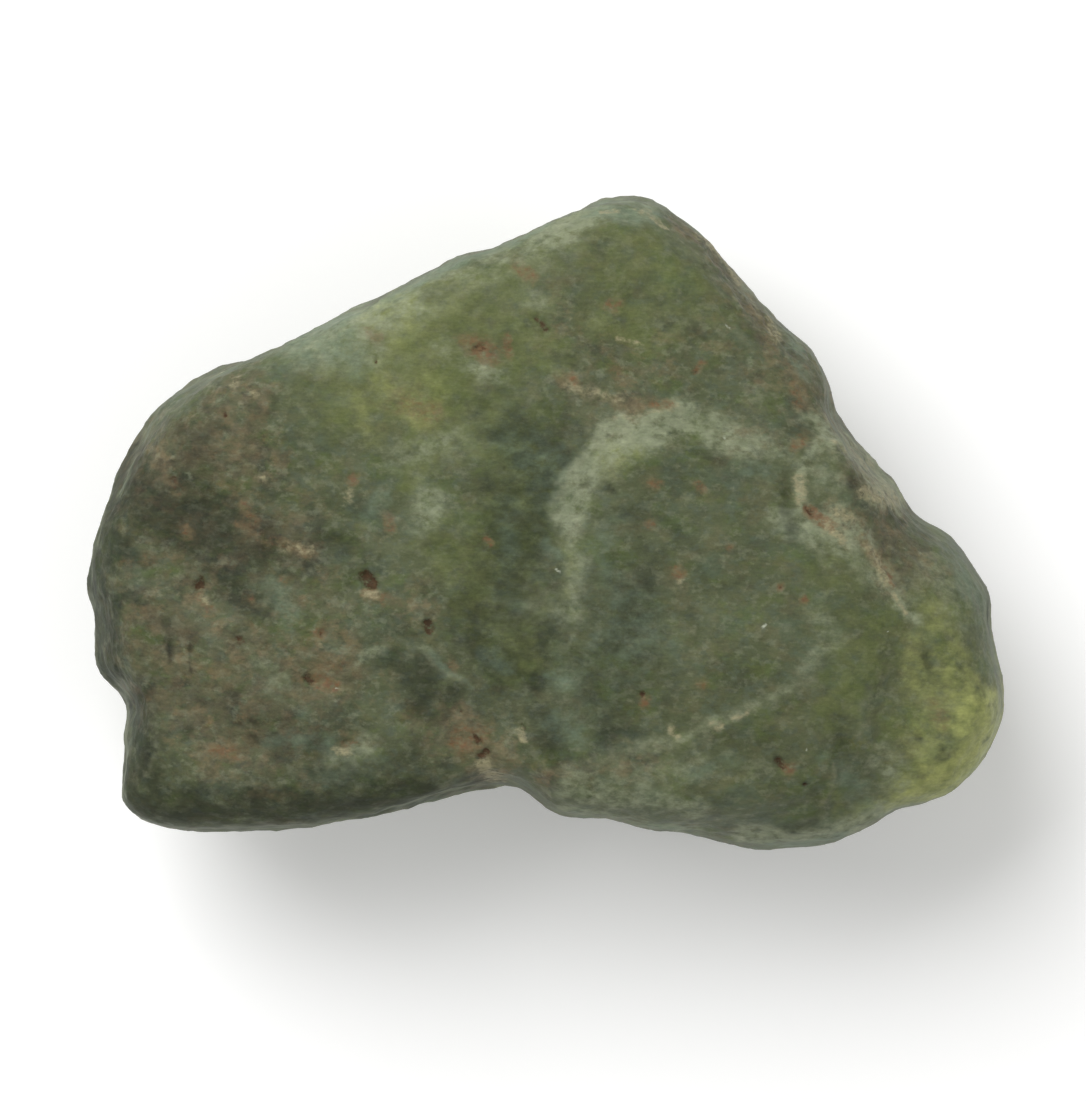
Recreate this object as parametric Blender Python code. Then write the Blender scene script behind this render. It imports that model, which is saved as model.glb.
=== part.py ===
"""A rough tsavorite garnet: one water-worn stone with a frosted skin, lying on its broad back.

The stone's length runs along X and its broad face looks up. The origin is on the surface the stone rests on, below
the middle of its outline. Numbers named here are millimetres and degrees unless they say otherwise, and a bearing
is an angle in the XY plane, counted from +X towards +Y.
"""

import math

import bmesh
import bpy
import numpy as np
from mathutils import Vector, noise

MM = 0.001

# The blank: the space that the stone is worked out of
LENGTH = 33.0
BREADTH = 23.5
THICKNESS = 13.3
CORE = np.array([0.0, 0.0, 6.4])

# Mesh
OUTLINE_STEP = 0.05
BLANK_SUBDIVISIONS = 7
FACET_COUNT = 9000
RAY_REACH = 3.0
RAY_STEPS = 18
SMOOTH_ANGLE = 40.0

# Tumbling: how far a point moves towards its neighbours in each round, and the rounds
TUMBLE_STRENGTH = 0.5
TUMBLE_ROUNDS = 6

# The outline seen from above, one stretch after another, clockwise from the apex
OUTLINE = {
    "apex": [(3.25, 11.75), (3.95, 11.6), (4.4, 11.3), (4.75, 10.9)],
    "upper_right": [
        (5.55, 10.45), (6.1, 9.95), (6.5, 9.4), (7.0, 8.9), (7.3, 8.3), (7.95, 7.65), (8.55, 7.0), (9.55, 6.3),
        (9.95, 5.65), (10.25, 5.0), (10.35, 4.4), (10.3, 4.0), (11.15, 2.95), (12.15, 1.75), (12.65, 1.45),
        (12.8, 1.0),
    ],
    "right_shoulder": [
        (13.0, 0.55), (13.55, 0.05), (14.45, -0.4), (15.0, -0.95), (15.45, -1.6), (15.9, -2.2), (16.1, -2.85),
    ],
    "lobe": [
        (16.1, -3.85), (16.2, -4.8), (16.45, -5.6), (16.5, -6.45), (16.25, -7.55), (15.65, -8.65), (14.85, -9.7),
        (14.25, -10.15), (13.45, -10.4), (12.6, -10.5),
    ],
    "lower_right": [
        (11.9, -11.05), (10.9, -11.55), (10.1, -11.75), (8.75, -11.7), (7.3, -11.75), (6.35, -11.5),
        (5.55, -11.25), (3.75, -11.05), (2.35, -10.65), (0.55, -10.55),
    ],
    "notch": [(0.0, -10.25), (-0.35, -9.85), (-0.85, -9.5), (-1.75, -9.45), (-2.85, -9.7)],
    "lower_left": [
        (-4.1, -10.15), (-5.85, -10.65), (-8.0, -11.0), (-10.5, -11.1), (-12.8, -11.15), (-14.0, -11.0),
    ],
    "knob": [(-14.75, -10.5), (-15.2, -10.05), (-15.3, -9.45), (-15.15, -8.95)],
    "left_notch": [(-15.0, -8.5), (-15.15, -7.7), (-15.0, -7.1), (-14.85, -6.55)],
    "left_end": [
        (-15.4, -6.0), (-16.0, -5.5), (-16.2, -4.95), (-16.15, -3.65), (-16.25, -3.0), (-16.5, -2.5),
        (-16.5, -1.55), (-16.4, -0.6), (-16.1, 0.35),
    ],
    "upper_left": [
        (-15.2, 2.15), (-14.15, 3.85), (-13.5, 4.5), (-12.1, 5.4), (-10.2, 6.25), (-9.05, 6.75), (-8.0, 7.15),
        (-6.95, 7.65), (-6.35, 7.95), (-5.5, 8.3), (-3.35, 9.35), (-2.8, 9.7), (-2.05, 9.75), (-1.25, 10.1),
        (0.0, 10.8), (1.25, 11.3), (2.4, 11.65),
    ],
}

# The side wall round the stone: bearing, height of the waist, lean above it, lean below it, roundness of the edges
WALL = [
    (-160, 6.0, 10, 14, 1.1),
    (-148, 5.6, 3, 9, 1.4),
    (-120, 6.4, 5, 20, 1.2),
    (-98, 7.6, 8, 26, 1.0),
    (-75, 7.4, 4, 20, 1.3),
    (-50, 6.4, 8, 14, 1.4),
    (-24, 5.6, 4, 6, 2.2),
    (-5, 5.6, 8, 10, 2.0),
    (8, 6.2, 10, 16, 1.5),
    (30, 6.6, 4, 12, 1.2),
    (55, 7.0, 10, 22, 1.1),
    (75, 7.6, 10, 16, 1.3),
    (105, 8.0, 5, 24, 1.1),
    (140, 7.2, 6, 14, 1.2),
    (165, 6.4, 10, 20, 1.5),
]

# Faces, each by a point on it, the bearing in which it leaves the level of that point, and its slope
BROAD_FACE = ((-5.0, 1.0, 11.75), 200, 4)
APEX_FACE = ((2.5, 4.5, 12.25), 65, 10)
SHIELD_FACE = ((6.0, -1.5, 12.6), -60, 2.5)
UPPER_FLANKS = [
    ((7.15, 7.55, 10.9), 43, 56),
    ((9.4, 4.9, 11.2), 27, 40),
    ((11.5, -0.8, 12.2), 42, 27),
    ((10.9, -5.2, 12.2), -17, 28),
    ((3.5, -7.9, 12.5), -69, 13),
    ((4.2, -10.45, 11.6), -82, 50),
    ((8.7, -10.5, 11.1), -58, 50),
    ((-8.0, -10.05, 11.15), -92, 55),
    ((-13.7, -8.0, 10.9), 215, 52),
    ((-15.3, -3.5, 10.6), 188, 50),
    ((-12.8, 3.8, 11.1), 138, 28),
    ((-4.8, 8.2, 11.6), 114, 32),
    ((3.0, 10.7, 10.8), 82, 42),
]
LOBE_FACES = [
    ((13.5, -6.0, 11.0), -20, 10),
    ((14.3, -2.4, 10.6), 35, 26),
    ((12.8, -9.5, 10.6), -68, 18),
    ((11.0, -7.0, 11.3), 163, 32),
]
SOLE_FACES = [
    ((0.0, -1.0, -0.35), 30, 1.5),
    ((-5.0, -2.0, -0.1), 184, 12),
    ((-12.0, -3.0, 1.5), 192, 38),
    ((-12.0, 2.0, 1.9), 145, 36),
    ((-7.0, -5.6, 0.1), 252, 36),
    ((1.5, -5.6, -0.1), -95, 27),
    ((8.5, -6.0, 0.3), -58, 34),
    ((6.5, -2.0, -0.15), -8, 19),
    ((7.0, 2.6, 0.2), 36, 40),
    ((2.0, 4.2, -0.1), 84, 23),
    ((-4.5, 3.2, 0.0), 119, 34),
]
FACE_BLEND = 0.3
FLANK_BLEND = 0.8
SOLE_BLEND = 0.9

# The shield: the middle of the broad face, which stands above the rest by a curved ledge
SHIELD_CENTRE = (6.65, -2.0)
SHIELD_RADIUS = 5.6
SHIELD_LEDGE_SLOPE = 38

# Round lumps that stand out of the upper side: middle, radius, height of the crown, slope of the sides
LUMPS = [((10.3, 1.85), 0.9, 12.15, 34), ((-9.2, -5.2), 1.8, 11.35, 12)]

# Creases in the upper side: path, half width, depth
CREASES = [
    ([(8.9, 1.2), (9.75, 0.25), (10.9, -0.75), (12.0, -1.5), (12.3, -2.4), (13.4, -3.3)], 0.4, 0.24),
    ([(10.05, -7.9), (9.9, -9.2), (9.4, -10.05), (8.1, -10.55), (6.9, -10.9)], 0.35, 0.2),
]

# Scoops worn or chipped out of the surface: middle seen from above, radius of the mouth, depth
TOP_SCOOPS = [
    ((6.7, 6.1), 1.6, 0.22),
    ((4.2, 8.0), 1.5, 0.12),
    ((-5.0, -5.6), 1.7, 0.34),
    ((-7.0, -7.9), 1.0, 0.28),
    ((-2.3, -7.9), 0.85, 0.28),
    ((-6.3, -2.1), 0.55, 0.24),
    ((-12.3, -2.4), 0.6, 0.22),
    ((-12.6, 0.0), 1.5, 0.22),
    ((-11.2, -8.2), 0.9, 0.24),
    ((-8.0, -5.6), 0.6, 0.22),
    ((14.9, -7.4), 1.2, 0.1),
    ((8.4, -8.8), 0.6, 0.14),
]
SOLE_SCOOPS = [
    ((-9.8, 2.4), 3.9, 0.55),
    ((-7.6, -0.4), 1.3, 0.2),
    ((9.9, 0.6), 2.8, 0.5),
    ((1.6, 8.0), 2.0, 0.3),
    ((-5.6, 5.6), 1.5, 0.3),
    ((-9.8, -7.0), 1.6, 0.3),
    ((5.2, -8.4), 3.2, 0.4),
    ((12.6, -5.6), 1.2, 0.24),
    ((8.6, -4.6), 1.0, 0.2),
]
# Scoops in the wall: bearing, height, radius of the mouth, depth
WALL_SCOOPS = [
    (118, 5.2, 2.8, 0.45),
    (138, 7.4, 1.5, 0.3),
    (96, 7.6, 1.4, 0.25),
    (52, 5.4, 2.4, 0.4),
    (30, 7.4, 1.0, 0.2),
    (-50, 4.6, 2.6, 0.3),
    (-82, 6.8, 1.1, 0.16),
    (-110, 4.6, 1.8, 0.3),
    (176, 5.6, 2.2, 0.4),
]
SCOOP_BLEND = 0.25

# Unevenness of the skin: size of the swells, how far they move a face, how far they move the wall
SWELLS = [(5.2, 0.30, 0.10), (1.9, 0.13, 0.09), (0.9, 0.06, 0.05)]
SWELL_ORIGIN = Vector((3.7, 11.2, 5.9))

# Finish
GARNET_GREEN = (0.105, 0.135, 0.062, 1.0)
GARNET_ROUGHNESS = 0.55


def clear_scene():
    """Removes whatever objects the file holds."""
    for thing in list(bpy.data.objects):
        bpy.data.objects.remove(thing)


def soft_max(a, b, blend):
    """The larger of a and b, rounded over where they are within blend of each other."""
    share = np.clip(0.5 + 0.5 * (a - b) / blend, 0.0, 1.0)
    return b + (a - b) * share + blend * share * (1.0 - share)


def soft_min(a, b, blend):
    """The smaller of a and b, rounded over in the same way."""
    return -soft_max(-a, -b, blend)


def distance_to_path(x, y, path):
    """Distance of each (x, y) from the nearest point of a path of straight runs."""
    nearest = np.full(np.shape(x), np.inf)
    for (start_x, start_y), (end_x, end_y) in zip(path, path[1:]):
        run, rise = end_x - start_x, end_y - start_y
        share = ((x - start_x) * run + (y - start_y) * rise) / (run**2 + rise**2)
        share = np.clip(share, 0.0, 1.0)
        nearest = np.minimum(nearest, np.hypot(x - start_x - share * run, y - start_y - share * rise))
    return nearest


def beyond_outline(x, y):
    """How far each (x, y) lies from the outline: above zero outside it, below zero inside."""
    ring = [corner for stretch in OUTLINE.values() for corner in stretch]
    ring.append(ring[0])
    is_inside = np.zeros(x.shape, dtype=bool)
    for (start_x, start_y), (end_x, end_y) in zip(ring, ring[1:]):
        if start_y != end_y:
            is_level = (start_y > y) != (end_y > y)
            crossing_x = start_x + (y - start_y) * (end_x - start_x) / (end_y - start_y)
            is_inside ^= is_level & (x < crossing_x)
    distance = distance_to_path(x, y, ring)
    return np.where(is_inside, -distance, distance)


def wall_by_bearing(bearings):
    """The waist height, the two leans as slopes, and the edge roundness at each bearing."""
    table = np.array(WALL, dtype=float)
    spread = [np.interp(bearings, np.radians(table[:, 0]), table[:, i], period=2 * math.pi) for i in range(1, 5)]
    waist, lean_over, lean_under, roundness = spread
    return waist, np.tan(np.radians(lean_over)), np.tan(np.radians(lean_under)), roundness


def run_from(x, y, face):
    """How far (x, y) lies from a face's own point, along its bearing."""
    (at_x, at_y, _), bearing, _ = face
    return (x - at_x) * math.cos(math.radians(bearing)) + (y - at_y) * math.sin(math.radians(bearing))


def falling(x, y, face):
    """Height of a face that falls away along its bearing."""
    return face[0][2] - math.tan(math.radians(face[2])) * run_from(x, y, face)


def rising(x, y, face):
    """Height of a face that rises along its bearing."""
    return face[0][2] + math.tan(math.radians(face[2])) * run_from(x, y, face)


def shield_height(x, y):
    """Height of the shield: a gently tilted face inside a circle, with a ledge that falls away round it."""
    beyond = np.hypot(x - SHIELD_CENTRE[0], y - SHIELD_CENTRE[1]) - SHIELD_RADIUS
    ledge = math.tan(math.radians(SHIELD_LEDGE_SLOPE)) * soft_max(beyond, 0.0 * beyond, FACE_BLEND)
    return falling(x, y, SHIELD_FACE) - ledge


def lump_height(x, y, lump):
    """Height of a lump: a level crown with straight sides."""
    (at_x, at_y), radius, crown, slope = lump
    beyond = np.hypot(x - at_x, y - at_y) - radius
    return crown - math.tan(math.radians(slope)) * soft_max(beyond, 0.0 * beyond, FACE_BLEND)


def upper_height(x, y):
    """Height of the upper side: the broad faces and the shield cut by their flanks, with the lobe and lumps."""
    height = soft_min(falling(x, y, BROAD_FACE), falling(x, y, APEX_FACE), FLANK_BLEND)
    height = soft_max(height, shield_height(x, y), FACE_BLEND)
    for flank in UPPER_FLANKS:
        height = soft_min(height, falling(x, y, flank), FLANK_BLEND)
    for lump in LUMPS:
        height = soft_max(height, lump_height(x, y, lump), FACE_BLEND)
    lobe = falling(x, y, LOBE_FACES[0])
    for face in LOBE_FACES[1:]:
        lobe = soft_min(lobe, falling(x, y, face), FLANK_BLEND)
    height = soft_max(height, lobe, FACE_BLEND)
    for path, half_width, depth in CREASES:
        height = height - depth * np.exp(-((distance_to_path(x, y, path) / half_width) ** 2))
    return height


def sole_height(x, y):
    """Height of the underside: the highest of its faces, each of which rises outwards."""
    height = rising(x, y, SOLE_FACES[0])
    for face in SOLE_FACES[1:]:
        height = soft_max(height, rising(x, y, face), SOLE_BLEND)
    return height


def swell(points, column):
    """Unevenness at each point, from smooth noise of several sizes. column picks the strengths in SWELLS."""
    total = np.zeros(len(points))
    for row in SWELLS:
        size, strength = row[0], row[column]
        total += strength * np.array([noise.noise(Vector(p) / size + SWELL_ORIGIN) for p in points])
    return total


def outline_reach(bearing):
    """Distance from the middle of the stone to its outline, along a bearing."""
    steps = np.arange(0.0, LENGTH, OUTLINE_STEP)
    beyond = beyond_outline(steps * math.cos(math.radians(bearing)), steps * math.sin(math.radians(bearing)))
    return steps[np.argmax(beyond > 0)]


def scoop_balls():
    """The middle and radius of every ball that bites a scoop out of the stone."""
    balls = []
    for (x, y), mouth, depth in TOP_SCOOPS:
        radius = (mouth**2 + depth**2) / (2 * depth)
        height = float(upper_height(np.array(x), np.array(y)))
        balls.append((np.array([x, y, height + radius - depth]), radius))
    for (x, y), mouth, depth in SOLE_SCOOPS:
        radius = (mouth**2 + depth**2) / (2 * depth)
        height = float(sole_height(np.array(x), np.array(y)))
        balls.append((np.array([x, y, height - radius + depth]), radius))
    for bearing, height, mouth, depth in WALL_SCOOPS:
        radius = (mouth**2 + depth**2) / (2 * depth)
        reach = outline_reach(bearing) + radius - depth
        across = (reach * math.cos(math.radians(bearing)), reach * math.sin(math.radians(bearing)))
        balls.append((np.array([*across, height]), radius))
    return balls


def worn_surface(directions):
    """The point where each ray from the core leaves the stone."""
    bearings = np.arctan2(directions[:, 1], directions[:, 0])
    waist, lean_over, lean_under, roundness = wall_by_bearing(bearings)
    balls = scoop_balls()
    blank = CORE + directions
    face_swell = swell(blank, 1)
    wall_swell = swell(blank, 2)

    def outside(points):
        """Above zero outside the stone, below zero inside it, and about as large as the distance."""
        x, y, z = points[:, 0], points[:, 1], points[:, 2]
        above = z - upper_height(x, y) - face_swell
        below = sole_height(x, y) - z - face_swell
        beyond = beyond_outline(x, y) - wall_swell
        beyond += lean_over * np.maximum(z - waist, 0.0) + lean_under * np.maximum(waist - z, 0.0)
        result = soft_max(soft_max(above, below, FACE_BLEND), beyond, roundness)
        for centre, radius in balls:
            bite = radius - np.linalg.norm(points - centre, axis=1) + wall_swell
            result = soft_max(result, bite, SCOOP_BLEND)
        return result

    near = np.zeros(len(directions))
    far = np.full(len(directions), RAY_REACH)
    for _ in range(RAY_STEPS):
        middle = (near + far) / 2
        is_out = outside(CORE + directions * middle[:, None]) > 0
        far = np.where(is_out, middle, far)
        near = np.where(is_out, near, middle)
    return CORE + directions * near[:, None]


def worn_mesh():
    """A fine ball of triangles drawn in to the stone's worn surface."""
    shape = bmesh.new()
    bmesh.ops.create_icosphere(shape, subdivisions=BLANK_SUBDIVISIONS, radius=1.0)
    directions = np.array([vertex.co for vertex in shape.verts])
    directions *= np.array([LENGTH, BREADTH, THICKNESS]) / 2
    for vertex, place in zip(shape.verts, worn_surface(directions)):
        vertex.co = Vector(place) * MM
    mesh = bpy.data.meshes.new("garnet")
    shape.to_mesh(mesh)
    shape.free()
    return mesh


def centre_outline(mesh):
    """Moves the mesh so that the middle of its box is above the origin."""
    places = np.array([vertex.co for vertex in mesh.vertices])
    middle = (places.max(axis=0) + places.min(axis=0)) / 2
    for vertex in mesh.vertices:
        vertex.co -= Vector((middle[0], middle[1], 0.0))


def garnet_material():
    """Dull frosted green."""
    material = bpy.data.materials.new("garnet")
    material.use_nodes = True
    shader = material.node_tree.nodes["Principled BSDF"]
    shader.inputs["Base Color"].default_value = GARNET_GREEN
    shader.inputs["Roughness"].default_value = GARNET_ROUGHNESS
    shader.inputs["Metallic"].default_value = 0.0
    return material


def make_rest_cutter():
    """A block below the floor, which wears the flat that the stone rests on."""
    bpy.ops.mesh.primitive_cube_add(size=1.0)
    cutter = bpy.context.object
    cutter.name = "rest_cutter"
    cutter.scale = (2 * LENGTH * MM, 2 * BREADTH * MM, THICKNESS * MM)
    cutter.location = (0.0, 0.0, -THICKNESS * MM / 2)
    cutter.display_type = "WIRE"
    cutter.hide_render = True
    return cutter


def make_garnet():
    """The whole stone: its worn surface, thinned to broad facets, with its resting flat."""
    mesh = worn_mesh()
    centre_outline(mesh)
    mesh.materials.append(garnet_material())
    stone = bpy.data.objects.new("garnet", mesh)
    bpy.context.scene.collection.objects.link(stone)
    tumble = stone.modifiers.new("tumble", "SMOOTH")
    tumble.factor = TUMBLE_STRENGTH
    tumble.iterations = TUMBLE_ROUNDS
    thin = stone.modifiers.new("thin", "DECIMATE")
    thin.decimate_type = "COLLAPSE"
    thin.ratio = FACET_COUNT / len(mesh.polygons)
    flat = stone.modifiers.new("resting_flat", "BOOLEAN")
    flat.operation = "DIFFERENCE"
    flat.object = make_rest_cutter()
    mesh.shade_smooth()
    mesh.set_sharp_from_angle(angle=math.radians(SMOOTH_ANGLE))
    return stone


clear_scene()
make_garnet()
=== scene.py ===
# %% [markdown]
# # Dressing a rough green garnet
# The real thing is one piece of rough tsavorite, a green garnet about 33 mm long, worn smooth and frosted
# all over. The frame brings its solid in broad facets, with the right outline, ledges and hollows. This
# lesson gives it the skin that an eye sees: a finer surface, pits, stains, cloudy patches and windows
# where the green shows.

# %% The fixed frame
import math

import bpy
import numpy as np
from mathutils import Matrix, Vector, noise


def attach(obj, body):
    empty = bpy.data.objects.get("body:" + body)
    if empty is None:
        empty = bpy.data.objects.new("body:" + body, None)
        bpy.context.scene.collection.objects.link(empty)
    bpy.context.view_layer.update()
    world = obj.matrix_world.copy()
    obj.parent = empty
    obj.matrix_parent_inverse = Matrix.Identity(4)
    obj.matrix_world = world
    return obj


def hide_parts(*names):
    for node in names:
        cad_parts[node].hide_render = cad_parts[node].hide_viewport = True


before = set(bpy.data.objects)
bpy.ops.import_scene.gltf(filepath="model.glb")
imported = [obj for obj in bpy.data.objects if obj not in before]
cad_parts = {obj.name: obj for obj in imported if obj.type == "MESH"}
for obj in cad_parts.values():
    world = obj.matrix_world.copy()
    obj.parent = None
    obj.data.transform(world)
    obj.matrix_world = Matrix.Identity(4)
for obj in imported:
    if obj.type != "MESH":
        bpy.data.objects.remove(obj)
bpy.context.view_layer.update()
cad_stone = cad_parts["garnet"]
MM = 0.001

# %% [markdown]
# ## The camera
# The stone lies on its broad back and the camera looks straight down on it. A long lens from far away
# keeps the outline free of perspective. The picture is upright, so Blender lays the sensor's 36 mm along
# its height, and the height that it takes in at the stone's waist then gives the distance.

# %% A camera above the stone
SENSOR = 36.0
LENS = 400.0
VIEW_HEIGHT = 39.24
VIEW_MIDDLE = (-0.05, -1.0)
WAIST = 7.5
CAMERA_DISTANCE = VIEW_HEIGHT / SENSOR * LENS
CLIP_START = 50.0
CLIP_END = 20000.0

camera_place = Vector((*VIEW_MIDDLE, WAIST + CAMERA_DISTANCE)) * MM
bpy.ops.object.camera_add(location=camera_place, rotation=(0.0, 0.0, 0.0))
camera = bpy.context.object
camera.name = "camera_above"
camera.data.sensor_width = SENSOR
camera.data.lens = LENS
camera.data.clip_start = CLIP_START * MM
camera.data.clip_end = CLIP_END * MM
bpy.context.scene.camera = camera
print("the camera hangs", round(CAMERA_DISTANCE), "mm above the stone's waist")

# %% [markdown]
# ## The light
# The light is soft and comes mostly from the upper left. One large soft box gives it its direction. A
# weaker one on the other side and the pale air around them keep the flanks from going black. The Standard
# view keeps white white, where Blender's default view would turn the sheet grey.

# %% Soft boxes and pale air
AIM = Vector((0.0, 0.0, 6.0))
# Each box: its place and width in millimetres, and its power in watts
SOFT_BOXES = {
    "main_box": ((-320.0, 380.0, 600.0), 560.0, 5.4),
    "fill_box": ((460.0, -240.0, 520.0), 600.0, 0.9),
}
AIR = {"Color": (1.0, 1.0, 0.98, 1.0), "Strength": 0.4}


def add_soft_box(name, place, width, power):
    """A square area light that looks at the stone."""
    bpy.ops.object.light_add(type="AREA", location=Vector(place) * MM)
    box = bpy.context.object
    box.name = name
    box.data.size = width * MM
    box.data.energy = power
    box.rotation_euler = (AIM - Vector(place)).to_track_quat("-Z", "Y").to_euler()


def set_sockets(node, values):
    """Sets sockets of a node by name."""
    for socket, value in values.items():
        node.inputs[socket].default_value = value


for box_name, box_settings in SOFT_BOXES.items():
    add_soft_box(box_name, *box_settings)
air = bpy.data.worlds.new("pale_air")
air.use_nodes = True
set_sockets(air.node_tree.nodes["Background"], AIR)
bpy.context.scene.world = air
bpy.context.scene.view_settings.view_transform = "Standard"
print("lit by", ", ".join(SOFT_BOXES))

# %% [markdown]
# ## Tools for the mesh
# Blender's operators act on whatever is selected, and the loaded solid arrives selected. So each step
# first selects one piece alone. Modifiers are put on and applied at once, as a person would with Apply.

# %% Selecting, applying and reading
LEAST_WEIGHT = 0.001


def select_alone(piece):
    """Makes one object the only selected one, and the active one."""
    bpy.ops.object.select_all(action="DESELECT")
    piece.select_set(True)
    bpy.context.view_layer.objects.active = piece


def edit_chosen(piece, kind, is_chosen):
    """Opens edit mode with only the chosen faces or vertices selected."""
    select_alone(piece)
    bpy.ops.object.mode_set(mode="EDIT")
    bpy.ops.mesh.select_mode(type=kind)
    bpy.ops.mesh.select_all(action="DESELECT")
    bpy.ops.object.mode_set(mode="OBJECT")
    elements = piece.data.polygons if kind == "FACE" else piece.data.vertices
    elements.foreach_set("select", is_chosen)
    bpy.ops.object.mode_set(mode="EDIT")


def apply_modifier(piece, name, kind, **settings):
    """Adds a modifier with its settings and applies it."""
    modifier = piece.modifiers.new(name, kind)
    for setting, value in settings.items():
        setattr(modifier, setting, value)
    select_alone(piece)
    bpy.ops.object.modifier_apply(modifier=name)


def read_vertices(piece):
    """Each vertex's place in millimetres and its outward direction."""
    places = np.empty(len(piece.data.vertices) * 3)
    directions = np.empty_like(places)
    piece.data.vertices.foreach_get("co", places)
    piece.data.vertices.foreach_get("normal", directions)
    return places.reshape(-1, 3) / MM, directions.reshape(-1, 3)


def smooth_step(value, low, high):
    """0 below low, 1 above high, and an easy slope between."""
    share = np.clip((value - low) / (high - low), 0.0, 1.0)
    return share * share * (3.0 - 2.0 * share)


def paint_group(piece, name, weights):
    """A vertex group with a weight for each vertex."""
    group = piece.vertex_groups.new(name=name)
    for index in np.flatnonzero(weights > LEAST_WEIGHT).tolist():
        group.add([index], float(weights[index]), "REPLACE")


# %% [markdown]
# ## A finer skin
# The solid's facets are 0.7 mm wide, which shows. A copy of it is merged, because a loaded solid is loose
# triangles, and remeshed to even squares, which a Smooth modifier can then relax until the facets are
# gone. Subdivision would keep their edges as soft folds, so remeshing is the better way here.

# %% Copy, merge, remesh and relax
MERGE_REACH = 0.02
SKIN_SQUARE = 0.255
RELAX_SHARE = 0.5
RELAX_ROUNDS = 5

stone = bpy.data.objects.new("rough_garnet", cad_stone.data.copy())
bpy.context.scene.collection.objects.link(stone)
stone.data.materials.clear()
select_alone(stone)
bpy.ops.object.mode_set(mode="EDIT")
bpy.ops.mesh.select_all(action="SELECT")
bpy.ops.mesh.remove_doubles(threshold=MERGE_REACH * MM)
bpy.ops.object.mode_set(mode="OBJECT")
apply_modifier(stone, "even_squares", "REMESH", mode="VOXEL", voxel_size=SKIN_SQUARE * MM)
apply_modifier(stone, "relax", "SMOOTH", factor=RELAX_SHARE, iterations=RELAX_ROUNDS)
print("the skin has", len(stone.data.polygons), "faces")

# %% [markdown]
# The upper side carries the fine marks, so only its faces are divided once more. They are picked in code
# by their outward direction, as a person would with a lasso from above.

# %% Divide the upper side
UPWARD = 0.25
RELAX_AGAIN_ROUNDS = 2


def faces_upward(piece):
    """Which faces look upward."""
    return np.array([face.normal.z for face in piece.data.polygons]) > UPWARD


def divide_faces(piece, is_chosen):
    """Subdivides the chosen faces, and relaxes the skin a little."""
    edit_chosen(piece, "FACE", is_chosen)
    bpy.ops.mesh.subdivide(number_cuts=1)
    bpy.ops.object.mode_set(mode="OBJECT")
    apply_modifier(piece, "relax_again", "SMOOTH", factor=RELAX_SHARE, iterations=RELAX_AGAIN_ROUNDS)
    print("the divided skin has", len(piece.data.polygons), "faces")


divide_faces(stone, faces_upward(stone))

# %% [markdown]
# ## Marks
# A mark is a short path on the stone as the camera sees it. It is written as its width in millimetres,
# its strength from 0 to 1, and the x and y, from the stone's middle, of each place along it. A point of
# the skin is carried along the line of sight to the level of the waist and wandered a little, so that no
# mark is a clean circle. It takes the strength that the marks have there. Marks of one kind build up like
# thin coats.

# %% Where a point of the skin is seen
# The size and the reach of each wander
WANDER = [(1.3, 0.2), (0.45, 0.09), (0.17, 0.045)]
# Noise vectors start from the clock unless they have a seed other than 0
WANDER_SEED = 3
noise.seed_set(WANDER_SEED)


def see_from_above(points):
    """Where points are seen, on the level of the waist, and wandered a little."""
    line_of_sight = CAMERA_DISTANCE / (CAMERA_DISTANCE - (points[:, 2] - WAIST))
    seen = np.array(VIEW_MIDDLE) + (points[:, :2] - VIEW_MIDDLE) * line_of_sight[:, None]
    for size, reach in WANDER:
        seen += reach * np.array([noise.noise_vector(Vector(point) / size)[:2] for point in points])
    return seen


def distance_to_path(points, path):
    """Distance of each point from the nearest place on a path of straight runs, or on a single place."""
    corners = np.reshape(path, (-1, 2))
    nearest = np.hypot(*(points - corners[0]).T)
    for start, end in zip(corners, corners[1:]):
        run = end - start
        share = np.clip((points - start) @ run / (run @ run), 0.0, 1.0)
        nearest = np.minimum(nearest, np.hypot(*(points - start - share[:, None] * run).T))
    return nearest
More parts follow.
